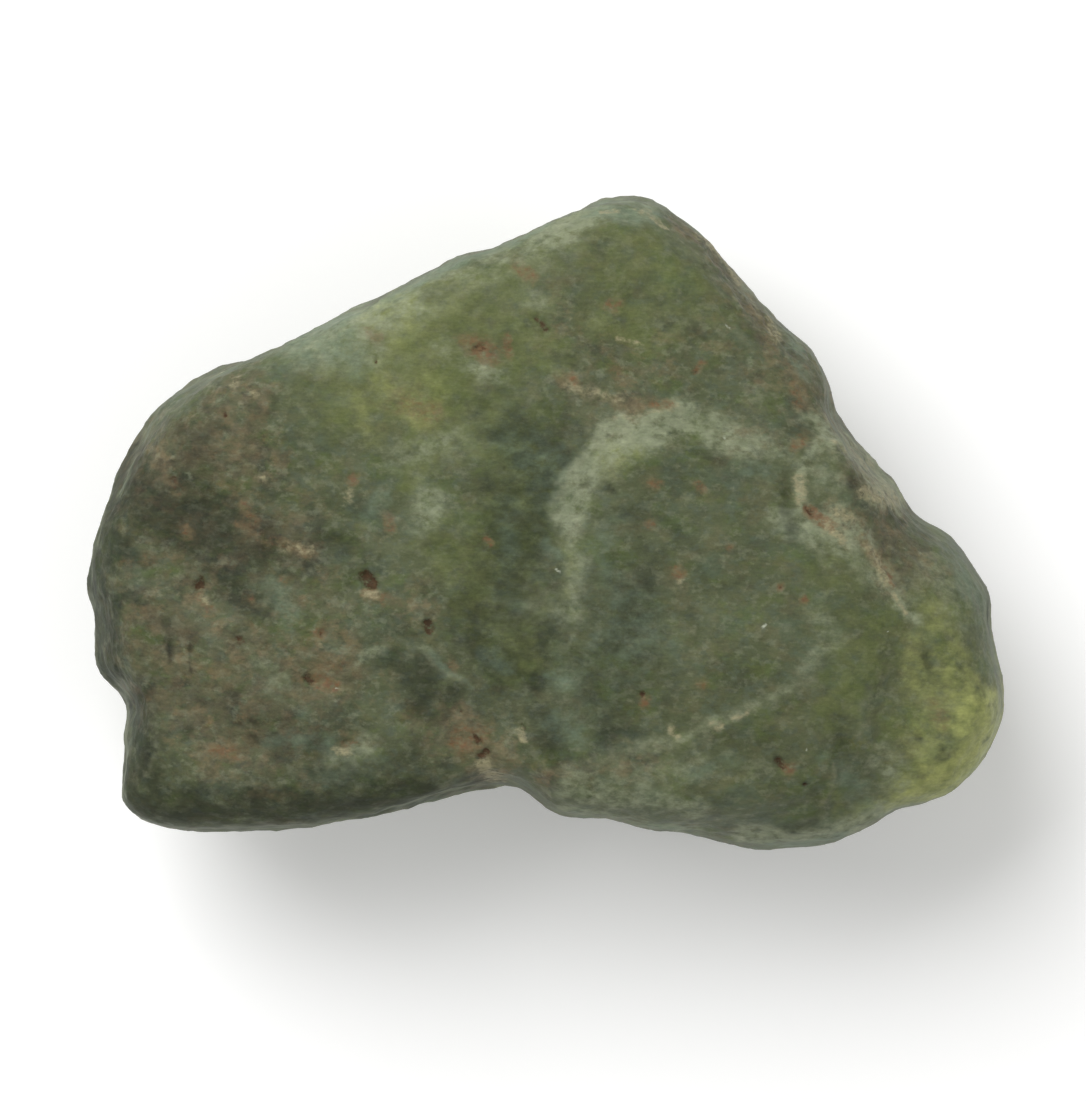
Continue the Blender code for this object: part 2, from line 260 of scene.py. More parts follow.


# %% [markdown]
# ### Windows and glows
# In places the frosted film is thin and the green of the clear stone shows: olive windows. The glows are
# painted light: a lemon green is painted where light comes through the thin round lobe and along one edge,
# and it also lightens a few lime and golden patches on the upper face.

# %% Windows and glows
WINDOWS = dict(
    broad_upper=(1.96, 0.5, -7.6, 4.9, -4.1, 6.9, -0.9, 7.9),
    broad_middle=(1.64, 0.55, -3.7, 3.7, -1.6, 4.4, -0.9, 1.5, -1.9, -2.4, -0.9, -4.5),
    broad_apex=(1.71, 0.45, 0.6, 10.1, 3.4, 9, 5.5, 7.6),
    broad_right=(1.5, 0.45, 10.2, -1.3, 10.9, -4.2, 10.5, -6.3),
    upper_left=(0.93, 0.6, -7.5, 4.4, -6.9, 3.9),
    upper_middle=(1.21, 0.75, -3.7, 7.3, -1.6, 7.8),
    middle=(0.86, 0.8, -3.4, 5.6, -2.9, 5.1),
    golden_left=(0.46, 0.8, -4.7, 1.9, -5, 1.3),
    golden_upper=(0.78, 0.7, -4.8, 4.3, -4.2, 3.7),
    under_apex=(0.86, 0.65, -0.9, 6.5, 0.6, 5.7),
    centre=(1.07, 0.7, -3.7, -0.8, -2.7, -1.5, -1.8, -2.8),
    centre_low=(0.93, 0.6, -0.9, -3.8, -1.1, -4.7),
    bright_spot=(0.32, 1, -3.23, -2.87),
    by_the_ledge=(0.57, 0.5, -1.4, 0.8, -1.2, 0.1),
    right_slope=(0.64, 0.7, 12, -3.5, 11.3, -5, 10.9, -6.3),
    slope_foot=(0.39, 0.8, 10, -6.61, 10.17, -7.04),
    shoulder=(0.78, 0.75, 13.5, -2.4, 13.8, -3.2),
    lower_right=(0.39, 0.7, 10.35, -9.71, 10.6, -10.32),
    golden_field=(0.78, 0.6, -6.9, 6.1, -5.3, 6.3, -4.3, 5.1),
    valley=(0.93, 0.65, -1.4, 3.3, -0.5, 1.9, -0.9, 0.1),
    ledge_top=(0.78, 0.7, 2, 7.3, 3.6, 6.8),
    centre_upper=(0.71, 0.5, -4.4, 2.6, -2.7, 2.9),
    valley_left=(0.5, 0.5, -2, 2.9, -1.4, 1.5),
    apex_right=(0.93, 0.35, 3.4, 9.7, 5.2, 8.8),
)
# Painted glow: lemon green where light comes through the thin lobe and along one edge
GLOWS = dict(
    lobe=(0.64, 0.95, 15.6, -6.4, 15.9, -7.3, 15.6, -8.2),
    lobe_top=(0.78, 0.36, 14.4, -4.7, 14.7, -5.9),
    lobe_inner=(1, 0.45, 13.2, -7.3, 13.7, -8.7),
    lobe_foot=(0.53, 0.85, 12.7, -9.7, 13.8, -9.4),
    lime_patch=(0.68, 0.5, -6.3, 7.4, -5.5, 7.8),
    lime_ledge=(0.71, 0.5, 3, 2.7, 2.1, 2.2),
    broad_lobe=(1.43, 0.25, 13.9, -6, 14.9, -7.3, 13.7, -9),
    broad_upper=(1, 0.35, -5.1, 7.9, -3, 8.3),
    lobe_low=(0.57, 0.95, 15.7, -7.7, 15, -8.7, 14.1, -9.4),
    lobe_rim=(0.39, 0.45, 11.31, -10.17, 12.38, -9.96),
    golden=(0.68, 0.42, -5.9, 5.1, -5, 4.4, -4.4, 3.7),
    lobe_heart=(0.68, 0.95, 15.2, -7.1, 15.5, -7.9),
    shoulder=(0.64, 0.3, 13.7, -2.6, 14, -3.5),
    shoulder_wide=(0.96, 0.2, 14.3, -3.3, 14.9, -5),
    lobe_left=(0.53, 0.45, 13, -4.2, 13.2, -5.6),
    upper_field=(1, 0.3, -5.3, 6.7, -4.1, 6.1, -3.7, 4.7),
    valley=(0.5, 0.38, -1.7, 3.9, -1.2, 3.7),
    left_field=(0.57, 0.35, -6.5, 4.4, -6.1, 2.9),
    band_foot=(0.43, 0.35, 0.8, -0.8, 0.9, -2.4),
)
print(len(WINDOWS), "windows and", len(GLOWS), "glows")

# %% [markdown]
# ### Crust
# A thin tan crust of the old rock still clings to the left end, the long right side and some hollows.

# %% Crust
CRUSTS = dict(
    broad_left=(2.07, 0.5, -14.4, 2.2, -12.3, -1.3, -13, -5.6, -10.1, -7.8),
    broad_low_left=(2.07, 0.45, -9.4, -1.3, -7.6, -4.2, -8.7, -6.3),
    broad_cluster=(1.07, 0.5, -3.7, -7.4, -1.6, -8.5),
    right_edge=(0.71, 0.5, 7.7, 7.9, 9.8, 4.4, 12, 0.8),
    ledge_top=(1.21, 0.35, 0.6, 6.9, 3.4, 5.8, 5.5, 6.5),
    left=(1, 0.7, -13.7, 1.9, -11.7, 2.4, -10.1, 2.2),
    upper_left=(0.64, 0.75, -12.8, 2.9, -10.9, 4.8),
    olive_tan=(1.21, 0.55, -14.1, -3.5, -13, -6, -11.7, -7.8),
    lower_left=(0.86, 0.3, -10.9, -6, -10, -7.9),
    side_band_top=(0.32, 1, 4.69, 10.85, 5.72, 9.96, 6.33, 9.28),
    side_band_mid=(0.46, 0.8, 6.3, 9.3, 7, 8.3, 8, 7.1),
    side_band_low=(0.78, 0.6, 8, 7.1, 9.1, 5.7, 9.5, 4.4),
    right_shoulder=(0.64, 0.6, 12, -0.7, 12.8, -1.1, 13.7, -1.9),
    shield_top=(0.43, 0.8, 0.7, 4.9, 2, 4.5, 3.4, 4.3),
    shield_corner=(0.43, 0.6, 2.5, 3.5, 3.4, 3.8),
    purple_cluster=(0.71, 0.75, -3.1, -7.1, -2.4, -8, -2.1, -8.6),
    notch=(0.39, 0.7, 0.02, -9.18, 0.55, -8.89),
    pink_halo=(0.64, 0.8, -7.5, -5, -6.9, -5.5),
    seam=(0.53, 1, 10.5, 0.2, 11.2, -0.3, 12, -1.2, 12.5, -2.2),
    centre_left=(0.5, 0.5, -5.3, -2.8, -4.1, -3.2),
    lower_olive_tan=(0.5, 0.5, 3.8, -8.4, 2, -8.7, 0.6, -9.2),
    lilac=(0.57, 0.5, 6.9, 2.9, 8.2, 2.9),
    pink_field=(0.53, 0.75, -11, -4.2, -10.1, -4.2),
    bump_right=(0.53, 1, 11.3, 1.7, 12.1, 1.1, 12.6, 0.5),
    upper_left_tan=(0.71, 0.85, -10.2, 4.7, -10.5, 2.9),
    band_pink=(0.5, 0.6, 7.1, 5.4, 7.5, 5.1),
    golden_tan=(0.53, 0.45, -4.9, 4.3, -4.1, 3.9),
    crust_line=(0.46, 0.75, -10.3, 0, -9.2, -0.6, -8.4, -1.1),
    red_pit=(0.57, 0.8, -9.4, -5, -8.9, -5.5),
    seam_right=(0.64, 0.8, 12.2, -0.3, 13.2, -1.4),
    block_wall=(0.5, 0.8, 11, 3.1, 12.1, 1.9, 12.9, 0.9),
    cluster_left=(0.5, 0.6, -4.8, -6.8, -3.9, -7.8),
)
print(len(CRUSTS), "patches of crust")

# %% [markdown]
# ### Frost, chill and painted highlights
# Ground surfaces scatter light, so bruised edges are paler. The ledges, the crown and the rims that face
# the light also carry painted highlights in the same pale tones. Frost is the warm pale kind. Chill is the
# blue-green kind: a painted sheen along the edges that meet the light, and a real blue-green in a few
# spots.

# %% Frost and chill
# Pale frost, with painted highlights on the ledge, the crown and the rims that face the light
FROSTS_AND_HIGHLIGHTS = dict(
    middle_field=(0.64, 0.8, -4.1, 0.8, -4.3, 0.1),
    upper_field=(1.07, 0.5, -6.2, 6.1, -7.6, 6.1),
    upper_left=(0.71, 0.6, -8.7, 6.3, -6.9, 7.2),
    centre_left=(0.78, 0.5, -3.4, 2.9, -5.1, 2.4),
    slope=(0.93, 0.4, -0.2, -2.8, -1.4, -3.1),
    ledge=(0.53, 0.72, 4.6, 3.8, 3.8, 3.5, 2.4, 2.7, 1.4, 1.5, 0.9, 0.3),
    ledge_foot=(0.46, 0.55, 0.8, 0.5, 1, -0.8, 1.1, -2.2, 1, -3.5),
    bevel=(0.5, 0.75, 8.4, 0.1, 9.9, 0, 10.9, -0.4),
    low_ridge=(0.25, 0.5, 3.4, -8.04, 5.54, -7.47, 6.9, -6.79, 8.68, -5.83),
    low_facet=(0.71, 0.4, 2.7, -9.2, 5.5, -8.6),
    lobe_rim=(0.29, 0.8, 11.96, -10.32, 14.09, -10.1, 14.81, -9.6),
    low_right_facet=(0.46, 0.75, 7.1, -11.2, 9.1, -11.1, 11.2, -10.9),
    lower_edge=(0.18, 0.6, 0.55, -10.32, 3.4, -10.78, 5.54, -11.1),
    crescent=(0.21, 0.45, -6.15, -4.62, -5.43, -4.22, -4.37, -4.47, -3.58, -5.19, -2.87, -5.68),
    scratches=(0.18, 0.7, 12.1, -1.76, 12.6, -2.9, 13.38, -3.4),
    under_apex=(0.43, 0.5, 0, 7.9, -0.5, 7.9),
    left_low=(0.64, 0.45, -10, -4.9, -9.4, -6),
    low_field=(0.5, 0.6, -7.6, -8.5, -6.4, -8.1),
    left_rim=(0.14, 0.9, -16.13, -3.47, -16.05, -5.61),
    right_slope=(0.5, 0.45, 9.6, -3.1, 10.4, -4.2, 9.1, -5.2),
    bump_top=(0.29, 0.45, 9.82, 2.76, 10.89, 2.94, 11.67, 1.94),
    bump_left=(0.29, 0.5, 9.11, 1.51, 9.32, 0.8),
    bump_right=(0.29, 0.7, 11.67, 1.51, 12.67, 0.8),
    broad_upper_rim=(0.93, 0.5, -7.6, 6.9, -5.1, 7.9, -2.3, 9.1, 0.6, 10.2),
    broad_seam=(0.71, 0.5, 8.7, 0.1, 10.9, -0.8, 12.7, -2.8),
    broad_shoulder=(0.78, 0.4, 13.7, -1.7, 15, -3.5),
    crown_right=(0.57, 0.45, 5.2, 3.7, 6.1, 3.3, 7, 2.9),
    ledge_outer=(0.25, 0.8, 2.41, 3.44, 1.55, 2.58, 0.84, 1.66, 0.3, 0.52),
    pale_slope=(0.36, 0.8, -2.3, 5.58, -1.51, 5.22),
    crescent_left=(0.32, 0.7, -6.43, -5.04, -6.15, -4.69),
    bottom_rim=(0.46, 0.6, 0.7, -9.7, 3.4, -9.9, 5.5, -10.2),
    bump_outline=(0.16, 0.8, 9.07, 1.3, 9.21, 2.01, 9.6, 2.73, 10.1, 2.94),
    low_right_rim=(0.32, 0.7, 10.89, -10.67, 12.03, -10.1),
    upper_rim=(0.46, 0.7, 0, 10.2, 1.7, 10.9),
    side_band=(0.39, 0.5, 7.04, 8.57, 8.25, 7.22),
    slope_right=(0.64, 0.6, 12, -8.5, 12.7, -9.1),
    crown_broad=(0.57, 0.62, 2.4, 3.4, 3.5, 3, 4.9, 3.7),
    lilac=(0.64, 0.5, 6, 3.2, 7.3, 2.8, 8.6, 2.5),
    apex=(0.46, 0.68, 0.8, 10.7, 2.3, 11.2, 3.8, 11.1),
    lime_pale=(0.53, 0.4, -6.1, 7.3, -4.7, 7.5),
    block_face=(0.43, 0.42, 10, 2.2, 10.5, 1.4),
    block_rim=(0.32, 0.75, 11.53, 2.16, 12.1, 1.66, 12.74, 0.8),
    lobe_side=(0.29, 0.5, 16.02, -4.72, 16.34, -6.5, 16.2, -7.57),
    crown_under=(0.5, 0.62, 3.4, 2.9, 4.4, 3),
    block_left=(0.32, 0.5, 9.32, 1.87, 10.03, 1.23),
    seam_top=(0.32, 0.5, 10.6, 0.52, 11.53, -0.62),
    crown_line=(0.21, 1, 2.62, 3.65, 3.3, 3.19, 3.9, 3.65, 4.83, 3.97),
    notch_right=(0.43, 0.5, 1.1, -9.2, 1.6, -9.4),
    block_foot=(0.32, 0.6, 11.67, 0.8, 12.53, 0.37),
    side_light=(0.53, 0.6, 9.7, 3.7, 11, 2.7, 12.3, 1.5),
    upper_middle=(0.57, 0.42, -3.7, 6.1, -2.3, 5.4),
)
# Blue-green chill: painted sheen along the rims that meet the light, and real blue-green spots inside
CHILLS_AND_SHEENS = dict(
    upper_left_rim=(0.32, 0.9, -9.07, 6.65, -7.29, 7.29, -5.68, 8.07, -5.15, 8.36),
    upper_rim=(0.25, 0.9, -5.15, 8.36, -3.01, 9.39, -1.59, 9.85, 0.02, 10.64),
    apex=(0.43, 0.8, 1.6, 11.1, 2.7, 11.1, 3.9, 11),
    upper_field=(0.64, 0.45, -8.7, 6.1, -7.1, 6.3, -6.6, 5.4),
    low_left=(0.43, 0.7, -9.8, -7.9, -7.8, -7.8),
    low_left_spot=(0.36, 0.7, -8.71, -6.86),
    low_field=(0.64, 0.5, -8, -9.5, -7.5, -9.1),
    streak=(0.18, 0.7, -9.6, -2.33, -9.25, -3.26),
    middle=(0.43, 0.6, -5.7, 0.9, -6.4, 0.3),
    centre=(0.32, 0.9, -2.08, -4.69, -1.37, -5.15),
    by_the_ledge=(0.18, 0.9, 0.02, -0.8, 0.27, -1.05),
    slope_low=(0.57, 0.5, 10, -8.5, 11.6, -9.9),
    valley=(0.78, 0.45, -0.9, 2.9, 0, 2.2),
    shield=(0.93, 0.4, 2.7, 0.4, 2, -1.3, 3.4, -4.2),
    low_facet=(0.5, 0.5, 6.6, -8.6, 5.5, -9),
    lobe_edge=(0.43, 0.42, 15.3, -2, 15.7, -3.5, 15.9, -5.3),
    lobe_edge_low=(0.21, 0.5, 16.23, -7.57, 15.7, -8.46, 14.88, -9.53),
    shoulder=(0.5, 0.6, 14.6, -1.4, 15, -2.4),
    lobe_rim=(0.21, 0.9, 12.31, -10.42, 13.92, -10.28, 14.63, -9.89),
    lower_right=(0.25, 0.9, 7.32, -11.49, 9.11, -11.53, 10.89, -11.24),
    lower_edge=(0.18, 0.8, 1.09, -10.5, 3.4, -10.92, 5.54, -11.17),
    lilac_spot=(0.46, 0.7, 0.3, -7.3, 1.3, -7.6),
    broad_valley=(1.43, 0.4, -1.6, 3.3, -0.5, 1.9, -0.9, -0.6),
    low_shield=(1.78, 0.35, 2, -4.2, 1.6, -6.3, 3.4, -3.5),
    upper_left=(1, 0.35, -9.8, 5.8, -7.3, 6.3),
    teal_rim=(0.29, 1, -3.55, 9.43, -2.01, 9.71),
    teal_right=(0.43, 0.7, 8.7, 6.7, 9.4, 5.3),
    valley_pale=(0.5, 0.5, 0.6, 2.2, 0.1, 0.8),
    right_edge=(0.39, 0.6, 7.96, 7.93, 8.75, 6.86),
    left_field=(0.78, 0.42, -9.9, -2.2, -8.9, -3.5),
    crescent=(0.14, 0.75, -4.01, -4.62, -3.44, -5.19, -2.73, -5.97),
    teal_spot=(0.29, 0.7, 0.27, -5.4, 0.77, -5.76),
    shield_top=(0.46, 0.5, 7, 2.2, 8.1, 1.6),
    ledge_left=(0.36, 0.45, -1.41, 0.8, -1.3, -2.41),
    star_right=(0.46, 0.5, -1.6, -2.5, -0.9, -2.8),
    middle_low=(0.39, 0.5, -7.64, -4.19, -7.11, -4.54),
)
print(len(FROSTS_AND_HIGHLIGHTS), "patches of frost and", len(CHILLS_AND_SHEENS), "of chill")

# %% [markdown]
# ### Flakes and shades
# Small cream flakes are fresh bruises. Shades are painted shade and dark colour together: they darken the
# hollows, the valley beside the ledge, the left end and the lower edge, where shade falls, and they carry
# the stone's own deep green and slate grey patches.

# %% Flakes and shades
CREAMS = dict(
    left_spot=(0.19, 0.68, -10.07, 1.59),
    upper_left=(0.29, 0.64, -10.92, 4.97),
    left_chip=(0.19, 0.68, -10.35, 4.54),
    crust_line=(0.29, 0.5, -9.28, -0.87, -8.43, -1.05),
    low_left=(0.19, 0.68, -7.47, -8.11, -7.11, -8.18),
    middle_streak=(0.19, 0.59, -7, 1.16, -7.04, 0.8),
    upper_dash=(0.1, 0.59, 2.69, 6.5, 3.4, 6.36),
    apex_chip=(0.11, 0.65, 1.98, 11.07, 2.62, 11.21),
    apex_two=(0.11, 0.6, 3.19, 11.21, 3.83, 11.03),
    apex_three=(0.13, 0.7, 3.94, 10.89, 4.4, 10.42),
    low_flake=(0.16, 0.68, 4.54, -7.32, 4.69, -7.57),
    ridge_flake=(0.19, 0.59, 6.11, -7.32, 6.4, -7.25),
    ridge_two=(0.16, 0.59, 6.82, -6.93, 7.25, -6.68),
    cluster_flake=(0.36, 0.85, -2.16, -8.61, -1.59, -9.11),
    notch_flake=(0.18, 0.8, -0.84, -7.43, -0.66, -7.79),
    bump_edge=(0.29, 0.85, 9.07, 1.51, 9.18, 0.87),
    seam_flake=(0.21, 0.7, 11.39, -0.8, 11.96, -1.55, 12.24, -2.05),
    seam_two=(0.14, 0.6, 12.46, -2.55, 12.88, -3.19),
    side_chip=(0.16, 0.59, 7.96, 7.29, 8.32, 6.58),
    bump_corner=(0.25, 0.7, 10.46, 0.37, 10.96, 0.09),
    seam_cream=(0.29, 0.75, 10.1, -0.12, 10.6, -0.48),
    long_pit_lip=(0.21, 0.75, -6.36, -2.48, -5.93, -2.62),
    left_pit_lip=(0.21, 0.5, -12.28, -2.62, -12.1, -2.83),
    by_the_block=(0.32, 0.8, 11.39, 1.02, 11.96, 0.8, 12.53, 0.69),
    block_grains=(0.32, 0.5, 11.46, 1.87, 12.1, 1.3),
    block_top=(0.16, 0.6, 10.32, 2.94, 10.96, 2.58, 11.46, 2.08),
    side_rim=(0.16, 0.8, 5.54, 10.21, 6.33, 9.43, 6.9, 8.57),
    stroke=(0.25, 0.5, 0.87, 4.83, 1.76, 4.69, 2.62, 4.37),
    crown_top=(0.14, 0.45, 2.55, 3.72, 3.94, 3.94, 4.83, 4.04),
    below_the_red=(0.18, 0.55, 4.76, -2.16, 4.9, -2.33),
    middle_low=(0.18, 0.6, -7.86, -4.29),
)
# Painted shade in hollows, the valley, the left end and the lower edge, and the stone's own dark patches
SHADES = dict(
    broad_left=(1.5, 0.55, -15.5, 0.8, -13.3, 0.8, -11.2, -0.4),
    left_edge=(0.53, 0.6, -16, 1.2, -16.4, -1.3, -16.2, -4.5),
    broad_valley=(1.14, 0.4, -2.3, 4.4, -0.5, 3.3, -0.5, 0.8, -0.9, -1.3),
    broad_low_dent=(1.21, 0.4, -4.4, -6, -5.1, -8.5),
    broad_shield=(1.35, 0.4, 1.3, -3.1, 2.7, -5.6, 2, -7.4),
    left_hollow=(0.64, 0.9, -12, -0.4, -12.1, -0.2),
    low_left_spot=(0.29, 0.8, -12.1, -6.22),
    lower_spot=(0.29, 0.7, -12.63, -7.39),
    green_hollow=(0.46, 0.6, -11.8, 0.8),
    streaks=(0.11, 0.8, -13.49, -4.19, -13.42, -4.97),
    streaks_low=(0.11, 0.8, -12.78, -4.54, -12.67, -5.26),
    lower_band=(0.46, 0.9, -13.3, -10.4, -10.5, -10.4, -7.6, -10.2, -4.4, -9.7),
    band_end=(0.36, 0.6, -4.44, -9.71, -2.65, -9.25, -1.59, -9.11),
    left_flank=(0.46, 0.75, -15.6, -2.9, -15.7, -4.5, -15.4, -5.4),
    low_flank=(0.43, 0.9, -14.5, -6.3, -14.3, -7.6, -14.4, -8.5),
    knob=(0.46, 0.8, -15.1, -9, -14.8, -10.1, -14.1, -10.3),
    valley=(0.71, 0.45, -1.6, 3.3, 0.2, 2.9, 0, 1.2),
    ledge_foot=(0.43, 0.55, 0, 1.5, -0.2, -0.3),
    lower_dent=(0.64, 0.5, -4.1, -5.7, -3, -6.4),
    right_flank=(0.43, 0.45, 10.6, -8.2, 10.4, -8.8),
    shield_foot=(0.57, 0.5, 2.3, -7.6, 3.4, -7.7),
    bump_heart=(0.32, 0.65, 10.89, 1.59, 11.24, 1.02),
    crease_foot=(0.29, 0.6, 8.75, -10.89, 9.64, -10.67),
    lobe_smudge=(0.21, 0.7, 13.56, -4.72, 13.67, -5.15),
    lobe_speck=(0.18, 0.7, 13.31, -7.61),
    speck_two=(0.18, 0.7, 14.13, -7.96, 14.13, -8.18),
    low_speck=(0.14, 0.9, 9.28, -9.35),
    left_end_edge=(1.07, 0.9, -15.4, 1.9, -16.3, -1.3, -16, -4.5),
    left_field=(1.07, 0.5, -13, 0.1, -11.2, -0.6),
    broad_centre=(1.43, 0.45, -1.6, 0.8, -0.9, -2.8, -1.6, -5.6),
    broad_low_left=(1.43, 0.35, -10.9, -6.3, -7.6, -8.5),
    left_wall=(0.93, 0.9, -16.6, -0.6, -16.6, -4.9),
    upper_edge=(0.57, 0.5, -15.3, 2.2, -13.7, 4.5),
    dark_left=(1.21, 0.5, -14.1, 0.8, -11.9, -0.1, -8.7, -1.3),
    dark_low=(1.07, 0.6, -11.2, -9.9, -5.1, -9.5),
    dark_dent=(0.64, 0.55, -5.3, -4.8, -4.3, -5.3, -3.7, -6),
    dark_slope=(1.07, 0.45, -0.9, 2.6, -1.4, -1.3, -1.6, -4.9),
    slate_heart=(0.53, 1, -12.4, -0.2, -11.8, -0.6),
    slate_low=(0.61, 0.75, -11.5, -2, -10.5, -2.9, -10.1, -3.1),
    slate_right=(0.53, 0.7, -7.8, -0.6, -6.9, -0.8),
    slate_upper=(0.53, 0.7, -12.8, 3.3, -12.3, 2.6),
    slate_left=(0.53, 0.8, -15.6, -0.6, -15.1, -1.1),
    dent_heart=(0.39, 0.5, -5.15, -5.04, -4.58, -5.76),
    valley_foot=(0.61, 0.65, 0, -4.2, -0.2, -6.3, 0.2, -7.8),
    valley_low=(0.46, 0.6, -2.7, -2.4, -2.3, -4.5),
    shield_right=(0.39, 0.6, 8.39, 1.51, 8.75, -0.45),
    shield_left=(0.61, 0.6, 3.8, -1.3, 3.4, -3.5),
    shield_top=(0.46, 0.38, 5.5, 2.4, 7.1, 2),
    flake_foot=(0.39, 0.5, 0.55, 5.79, 1.12, 5.72),
    lime_edge=(0.46, 0.5, -4.1, 8.1, -3.2, 8.4),
    low_corner=(0.93, 0.7, -14.8, -9.5, -12.6, -10.1),
    corner_top=(0.61, 0.75, -14.4, -6.8, -14.1, -8.8),
    slate_ledge=(0.43, 0.45, 0.6, 4, 1.6, 2.9, 0.4, 2),
    slate_edge=(0.46, 0.5, -10.9, -0.6, -10.1, -1.3),
    ridge_foot=(0.78, 0.4, 7.1, -7.3, 8.2, -7.8),
    block_top=(0.43, 0.5, 9.1, 3.4, 9.4, 3.1),
    ledge_speck=(0.18, 0.7, 2.19, 1.27, 2.33, 1.16),
    low_shield=(0.86, 0.35, 2.7, -4.2, 4.5, -5.4),
    star_right=(0.46, 0.45, -3.3, -2.8, -3.1, -4.9),
    low_left_slate=(0.64, 0.45, -10.1, -7.5, -8.1, -8),
    centre_left=(0.71, 0.4, -4.9, -0.3, -3.5, -0.9),
    dent_low_left=(0.43, 0.4, -4.3, -6.5, -3.7, -7.1),
    shield_upper=(0.53, 0.45, 2.1, 0.4, 3.4, 0.2),
    shield_low=(0.57, 0.35, 4.1, -3, 5.2, -3.3),
    notch=(0.43, 0.5, -0.1, -8.2, 0.8, -8.4),
    upper_left=(0.5, 0.5, -12.1, 4.2, -11.4, 3.2),
    left_end=(0.36, 0.5, -14.84, -1.34, -14.06, -1.41),
    left_end_low=(0.39, 0.5, -14.49, -2.83, -14.2, -3.05),
    low_left_end=(0.43, 0.4, -14.1, -6, -12.6, -6.3),
    seam_edge=(0.53, 0.5, 12.5, 0.3, 13.5, -0.4),
    shield_middle=(0.5, 0.4, 4.4, 0.1, 5.2, -0.9),
    shield_low_left=(0.43, 0.5, 1.3, -5.3, 1.6, -6.1),
    low_slope=(0.5, 0.4, 10.1, -6.3, 10.7, -7.8),
    left_middle=(0.57, 0.4, -14.1, -3.5, -12.6, -4.2),
    left_of_shield=(0.5, 0.4, 2.3, -1.3, 2.6, -2.8),
)
print(len(CREAMS), "flakes and", len(SHADES), "shades")

# %% [markdown]
# ### Stains
# Iron has stained many small spots orange and pink. The halos and lips just below and right of some pits
# are partly painted light as well: the pit walls that face the light.

# %% Stains
STAINS = dict(
    left_cluster=(0.25, 0.55, -12.85, -0.2, -12.7, -0.41),
    middle_left=(0.25, 0.55, -10.64, 0.59, -10.21, 0.09),
    left_middle=(0.23, 0.5, -9.35, -2.16),
    left_low=(0.23, 0.5, -10.42, -2.69),
    pink_halo=(0.61, 0.4, -7.9, -5.3, -7.3, -5),
    pink_heart=(0.29, 0.75, -8.07, -5.72, -7.5, -5.9),
    low_left=(0.36, 0.6, -11.78, -8.18, -11.14, -8.18),
    upper_left=(0.37, 0.45, -6.22, 6.58, -5.93, 6.43),
    apex_left=(0.32, 0.65, -0.8, 9.07, -0.52, 8.78),
    orange_dot=(0.23, 0.9, -6.93, 1.62),
    vertical=(0.23, 0.6, -5.61, 0.23, -5.58, -0.34),
    centre_dot=(0.21, 0.65, -2.16, -0.62, -2.05, -0.77),
    slope_dot=(0.23, 0.5, -3.3, -4.97, -3.19, -5.19),
    low_brown=(0.23, 0.5, -7.29, -7.82, -6.86, -7.82),
    orange=(0.32, 0.6, -3.15, -7.93, -2.94, -8.11),
    cluster_pink=(0.43, 0.5, -2.7, -7.6, -2.1, -7.4),
    upper_line=(0.18, 0.65, -1.48, 6.58, -1.3, 6),
    apex_face=(0.28, 0.6, 2.58, 7.64, 2.33, 7.82),
    dent_left=(0.23, 0.55, 5.43, 5.4, 5.58, 5.68),
    ledge_rust=(0.32, 0.55, 2.51, 5.43, 2.62, 5.29),
    ledge_red=(0.28, 0.75, 1.09, 5.08),
    shield_brown=(0.25, 0.6, 3.76, 1.41, 3.94, 1.3),
    shield_red=(0.19, 0.7, 5.43, 1.41, 5.54, 1.27),
    shield_dot=(0.28, 0.65, 3.83, -0.16),
    red=(0.29, 0.75, 4.58, -1.76, 4.72, -1.91),
    right_red=(0.23, 0.5, 6.54, -0.98),
    small_red=(0.19, 0.8, 8.5, -2.3),
    right_orange=(0.23, 0.8, 9.32, -2.9),
    low_pink=(0.37, 0.55, 5.72, -5.86),
    # Partly painted light: the lit lower right walls of these pits
    pit_halo=(0.32, 0.7, 3.65, -6.43),
    low_pit_halo=(0.32, 0.75, 8.61, -8.89),
    rust_hollow=(0.2, 0.95, 9.5, 0.45, 9.82, 0.2, 10.1, -0.02),
    band_pink=(0.37, 0.45, 8.93, 4.9, 9.11, 4.29),
    bump_rust=(0.28, 0.6, 9.21, 2.94, 8.93, 2.69),
    seam_pink=(0.23, 0.6, 12.42, -1.91, 12.38, -2.23),
    long_lip=(0.29, 0.6, -6.36, -2.48, -5.79, -2.76),
    brown_lip=(0.29, 0.5, -13.27, 1.23),
    pink_band=(0.29, 0.4, -10.85, -0.09, -9.6, -0.69, -8.54, -1.09),
    cluster_rust=(0.5, 0.25, -3.2, -7.4, -2.1, -8.3),
    seam_rust=(0.29, 0.5, 11.39, -0.8, 12.1, -1.55),
    lobe_orange=(0.43, 0.45, 13.9, -6.5, 14.2, -7.1),
    pit_orange=(0.29, 0.6, -2.37, 6.08, -2.08, 5.93),
    left_lip=(0.36, 0.5, -12.31, -2.65, -11.99, -3.19),
    golden=(0.68, 0.42, -5.1, 4.4, -4.1, 3.8),
    rust_orange=(0.21, 0.85, 9.89, 0.2, 10.32, -0.16),
    upper_halo=(0.43, 0.42, -2.3, 6.2, -1.8, 5.9),
    crown_pink=(0.21, 0.6, 3.83, 4.22, 4.62, 4.12),
    middle_right=(0.29, 0.8, -7.93, -3.94),
    upper_tan=(0.39, 0.45, -2.94, 6.58, -2.37, 6.33),
    left_rust=(0.36, 0.4, -15.06, -1.41, -14.06, -1.34),
)
print(len(STAINS), "stains")
